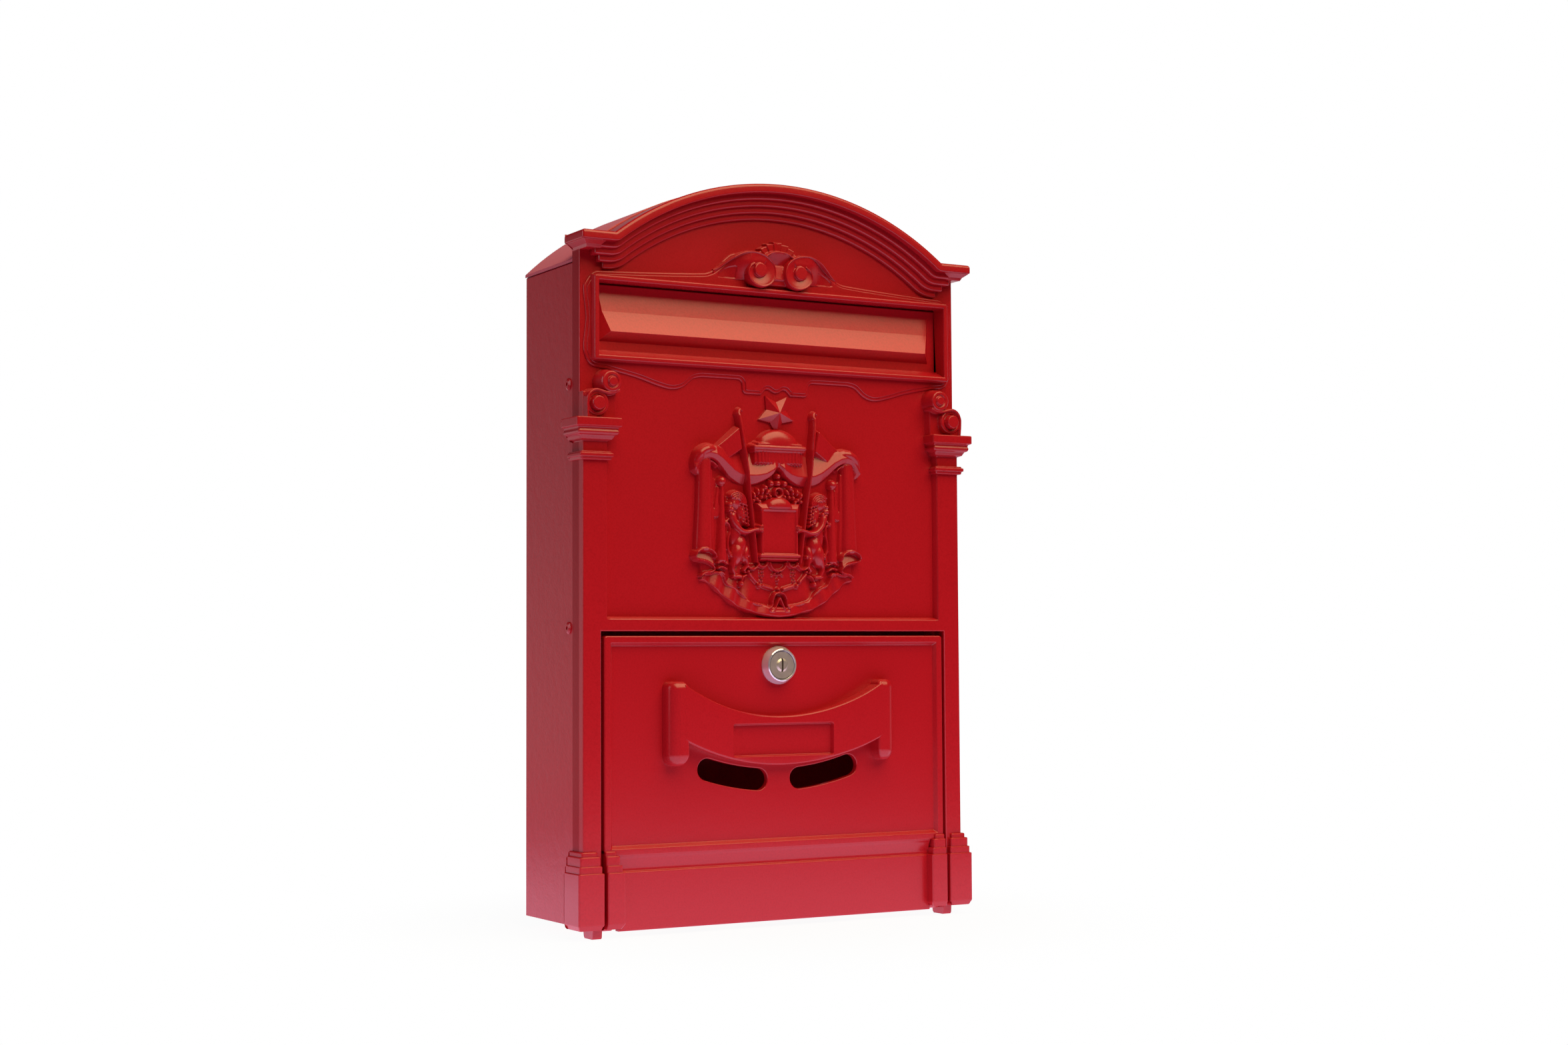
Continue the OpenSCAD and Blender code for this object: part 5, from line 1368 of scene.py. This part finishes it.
# The castings' inner faces from the solids: what lies behind the dressed front.
def makeInsides():
    def keepFront(c):
        p, x, z = c[..., 1], np.abs(c[..., 0]), c[..., 2]
        inside = (p <= -0.94).all(1)
        lug = (z <= 17).all(1) & (x >= 108).all(1) & (x <= 114.6).all(1)
        return inside | lug

    def keepDoor(c):
        p, x, z = c[..., 1], np.abs(c[..., 0]), c[..., 2]
        return (p <= -1.49).all(1) | ((z <= 12).all(1) & (p <= 0.6).all(1))
    inner = nodeCopy("front_casting", "casting_inside", keepFront)
    dressed(inner, "box", castRed, (), 35)
    back = nodeCopy("door_casting", "door_inside", keepDoor)
    dressed(back, "door", castRed, (), 35)


# Flap and folded sheets from the solids, with their edges rounded.
def makeSheets():
    # The flap's skin takes the lighter copy of the coat: painted light.
    softened("slot_flap", "slot_flap_skin", "flap", flapRed, 0.9, 8)
    # The roof's skin takes the lighter, sheened copy of the coat: painted light and painted reflection.
    softened("roof_sheet", "roof_skin", "box", roofRed, 0.25)
    softened("bottom_sheet", "bottom_skin", "box", sheetRed, 0.25)
    softened("body_wrap", "wrap_skin", "box", sheetRed, 0.25)


# Materials of the pieces that are shown as the solids have them.
def paintNodes():
    finish = {"flap_rod": zinc, "rod_clips": zinc, "hinge_pins": zinc, "side_rivets": castRed,
              "lock_bezel": chrome,
              "lock_housing": chrome, "lock_plug": nickel, "lock_wafers": brass, "lock_washer": zinc,
              "lock_nut": zinc, "cam_washer": zinc, "lock_cam": zinc, "cam_screw": zinc}
    for name, material in finish.items():
        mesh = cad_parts[name].data
        mesh.materials.clear()
        mesh.materials.append(material)


# camera, light and floor

view = {
    "place": (-0.6395, -1.1361, 0.1489),
    "right": (0.86425, -0.50303, -0.00575),
    "up": (-0.02400, -0.05264, 0.99833),
    "ahead": (0.50249, 0.86266, 0.05756),
    "lens": 52.82,
}


# Camera from its own three axes: the matrix's columns are right, up and -ahead.
def setCamera():
    camera = bpy.data.objects.new("camera", bpy.data.cameras.new("camera"))
    bpy.context.scene.collection.objects.link(camera)
    turn = Matrix((view["right"], view["up"], [-a for a in view["ahead"]])).transposed()
    camera.matrix_world = Matrix.Translation(view["place"]) @ turn.to_4x4()
    camera.data.lens = view["lens"]
    camera.data.sensor_width = 36
    camera.data.clip_start = 0.05
    bpy.context.scene.camera = camera


lamps = {
    "softbox": {"place": (0.25, -0.95, 1.6), "target": (0, 0, 0.25), "size": (1.92, 1.75), "power": 41,
                "color": (1.0, 0.79, 0.46)},
    "side": {"place": (-1.6, 0.3, 0.7), "target": (-0.1, 0, 0.2), "size": (1.0, 1.2), "power": 7.4,
             "color": (0.92, 0.92, 1.0)},
}


# Area lamps, each turned so that it looks along target - place.
def setLamps():
    for name, given in lamps.items():
        lamp = bpy.data.lights.new(name, "AREA")
        lamp.shape = "RECTANGLE"
        lamp.size, lamp.size_y = given["size"]
        lamp.energy = given["power"]
        lamp.color = given["color"]
        holder = bpy.data.objects.new(name, lamp)
        bpy.context.scene.collection.objects.link(holder)
        holder.location = given["place"]
        aim = Vector(given["target"]) - Vector(given["place"])
        holder.rotation_euler = aim.to_track_quat("-Z", "Y").to_euler()


studio = {
    "backdrop": (0.50, 0.86, -1.4),  # where the white backdrop stands
    "glowFrom": (0.05, 1.0),
    "glow": (0.0, 0.8),  # of the dark room and of the backdrop
    "room": (0.92, 0.93, 1.0),
    "floor": (1.0, 0.74, 0.98),
    "floorGlow": 1.4,
    "farShare": 0.12,  # what is left of the floor's glow far out
    "glowFade": (0.30, 0.64),  # radii in metres between which it fades
    "shadowFade": (0.04, 0.27),  # radii between which the contact shadow fades
    "plainWhite": 0.94,  # share of pure white under the box
    "matt": (0.80, 0.88, 1.0),
    "half": 0.8,
}


# White for the camera. Reflections see a backdrop in a dark room: glow = ease(direction . backdrop).
def setWorld():
    world = bpy.data.worlds.new("studio")
    bpy.context.scene.world = world
    world.use_nodes = True
    tree = world.node_tree
    tree.nodes.clear()
    node, link = tree.nodes.new, tree.links.new
    out, path = node("ShaderNodeOutputWorld"), node("ShaderNodeLightPath")
    seen, lit, mix = node("ShaderNodeBackground"), node("ShaderNodeBackground"), node("ShaderNodeMixShader")
    place, dot = node("ShaderNodeTexCoord"), node("ShaderNodeVectorMath")
    dot.operation = "DOT_PRODUCT"
    dot.inputs[1].default_value = studio["backdrop"]
    link(place.outputs["Generated"], dot.inputs[0])
    link(mapped(tree, dot.outputs["Value"], studio["glowFrom"], studio["glow"]), lit.inputs["Strength"])
    lit.inputs["Color"].default_value = (*studio["room"], 1)
    seen.inputs["Color"].default_value = (1, 1, 1, 1)
    link(path.outputs["Is Camera Ray"], mix.inputs[0])
    link(lit.outputs[0], mix.inputs[1])
    link(seen.outputs[0], mix.inputs[2])
    link(mix.outputs[0], out.inputs["Surface"])


# White with a barely visible contact shadow for the camera, a pale rose in reflections and bounced light.
def makeFloor():
    mesh = bpy.data.meshes.new("floor")
    h, glow = studio["half"], studio["floorGlow"]
    mesh.from_pydata([(-h, -h, 0), (h, -h, 0), (h, h, 0), (-h, h, 0)], [], [(0, 1, 2, 3)])
    floor = bpy.data.objects.new("floor", mesh)
    bpy.context.scene.collection.objects.link(floor)
    material, tree, shader = newMaterial("paleFloor")
    node, link = tree.nodes.new, tree.links.new
    shader.inputs["Base Color"].default_value = (0, 0, 0, 1)
    shader.inputs["Roughness"].default_value = 1.0
    shader.inputs["Specular IOR Level"].default_value = 0.0
    shader.inputs["Emission Color"].default_value = (*studio["floor"], 1)
    place, length = node("ShaderNodeTexCoord"), node("ShaderNodeVectorMath")
    length.operation = "LENGTH"
    link(place.outputs["Object"], length.inputs[0])
    fade = mapped(tree, length.outputs["Value"], studio["shadowFade"], (studio["plainWhite"], 1))
    near = mapped(tree, length.outputs["Value"], studio["glowFade"], (glow, studio["farShare"] * glow))
    link(near, shader.inputs["Emission Strength"])
    white, matt, path = node("ShaderNodeEmission"), node("ShaderNodeBsdfDiffuse"), node("ShaderNodeLightPath")
    matt.inputs["Color"].default_value = (*studio["matt"], 1)
    ground, mix = node("ShaderNodeMixShader"), node("ShaderNodeMixShader")
    link(fade, ground.inputs[0])
    link(matt.outputs[0], ground.inputs[1])
    link(white.outputs[0], ground.inputs[2])
    link(path.outputs["Is Camera Ray"], mix.inputs[0])
    link(shader.outputs[0], mix.inputs[1])
    link(ground.outputs[0], mix.inputs[2])
    out = [n for n in tree.nodes if n.type == "OUTPUT_MATERIAL"][0]
    link(mix.outputs[0], out.inputs[0])
    mesh.materials.append(material)


stages = {
    "front": (makeCornice, makeFace, makePanelFrame, makeSideRimShade, makeSlotFrame, makeCartouche, makeCrest,
              makeCapitals, makeVolutes, makeBaseBlocks, makeOrnament, makeStar, makeLances),
    "door": (makeDoorPanel, makePlinth, makeDoorBlocks, makeBanner),
    "body": (makeInsides, makeSheets, paintNodes),
    "studio": (setCamera, setWorld, setLamps, makeFloor),
}
for stage, builders in stages.items():
    for build in builders:
        build()
    print(stage, "ready")

bpy.context.scene.view_settings.view_transform = "Standard"
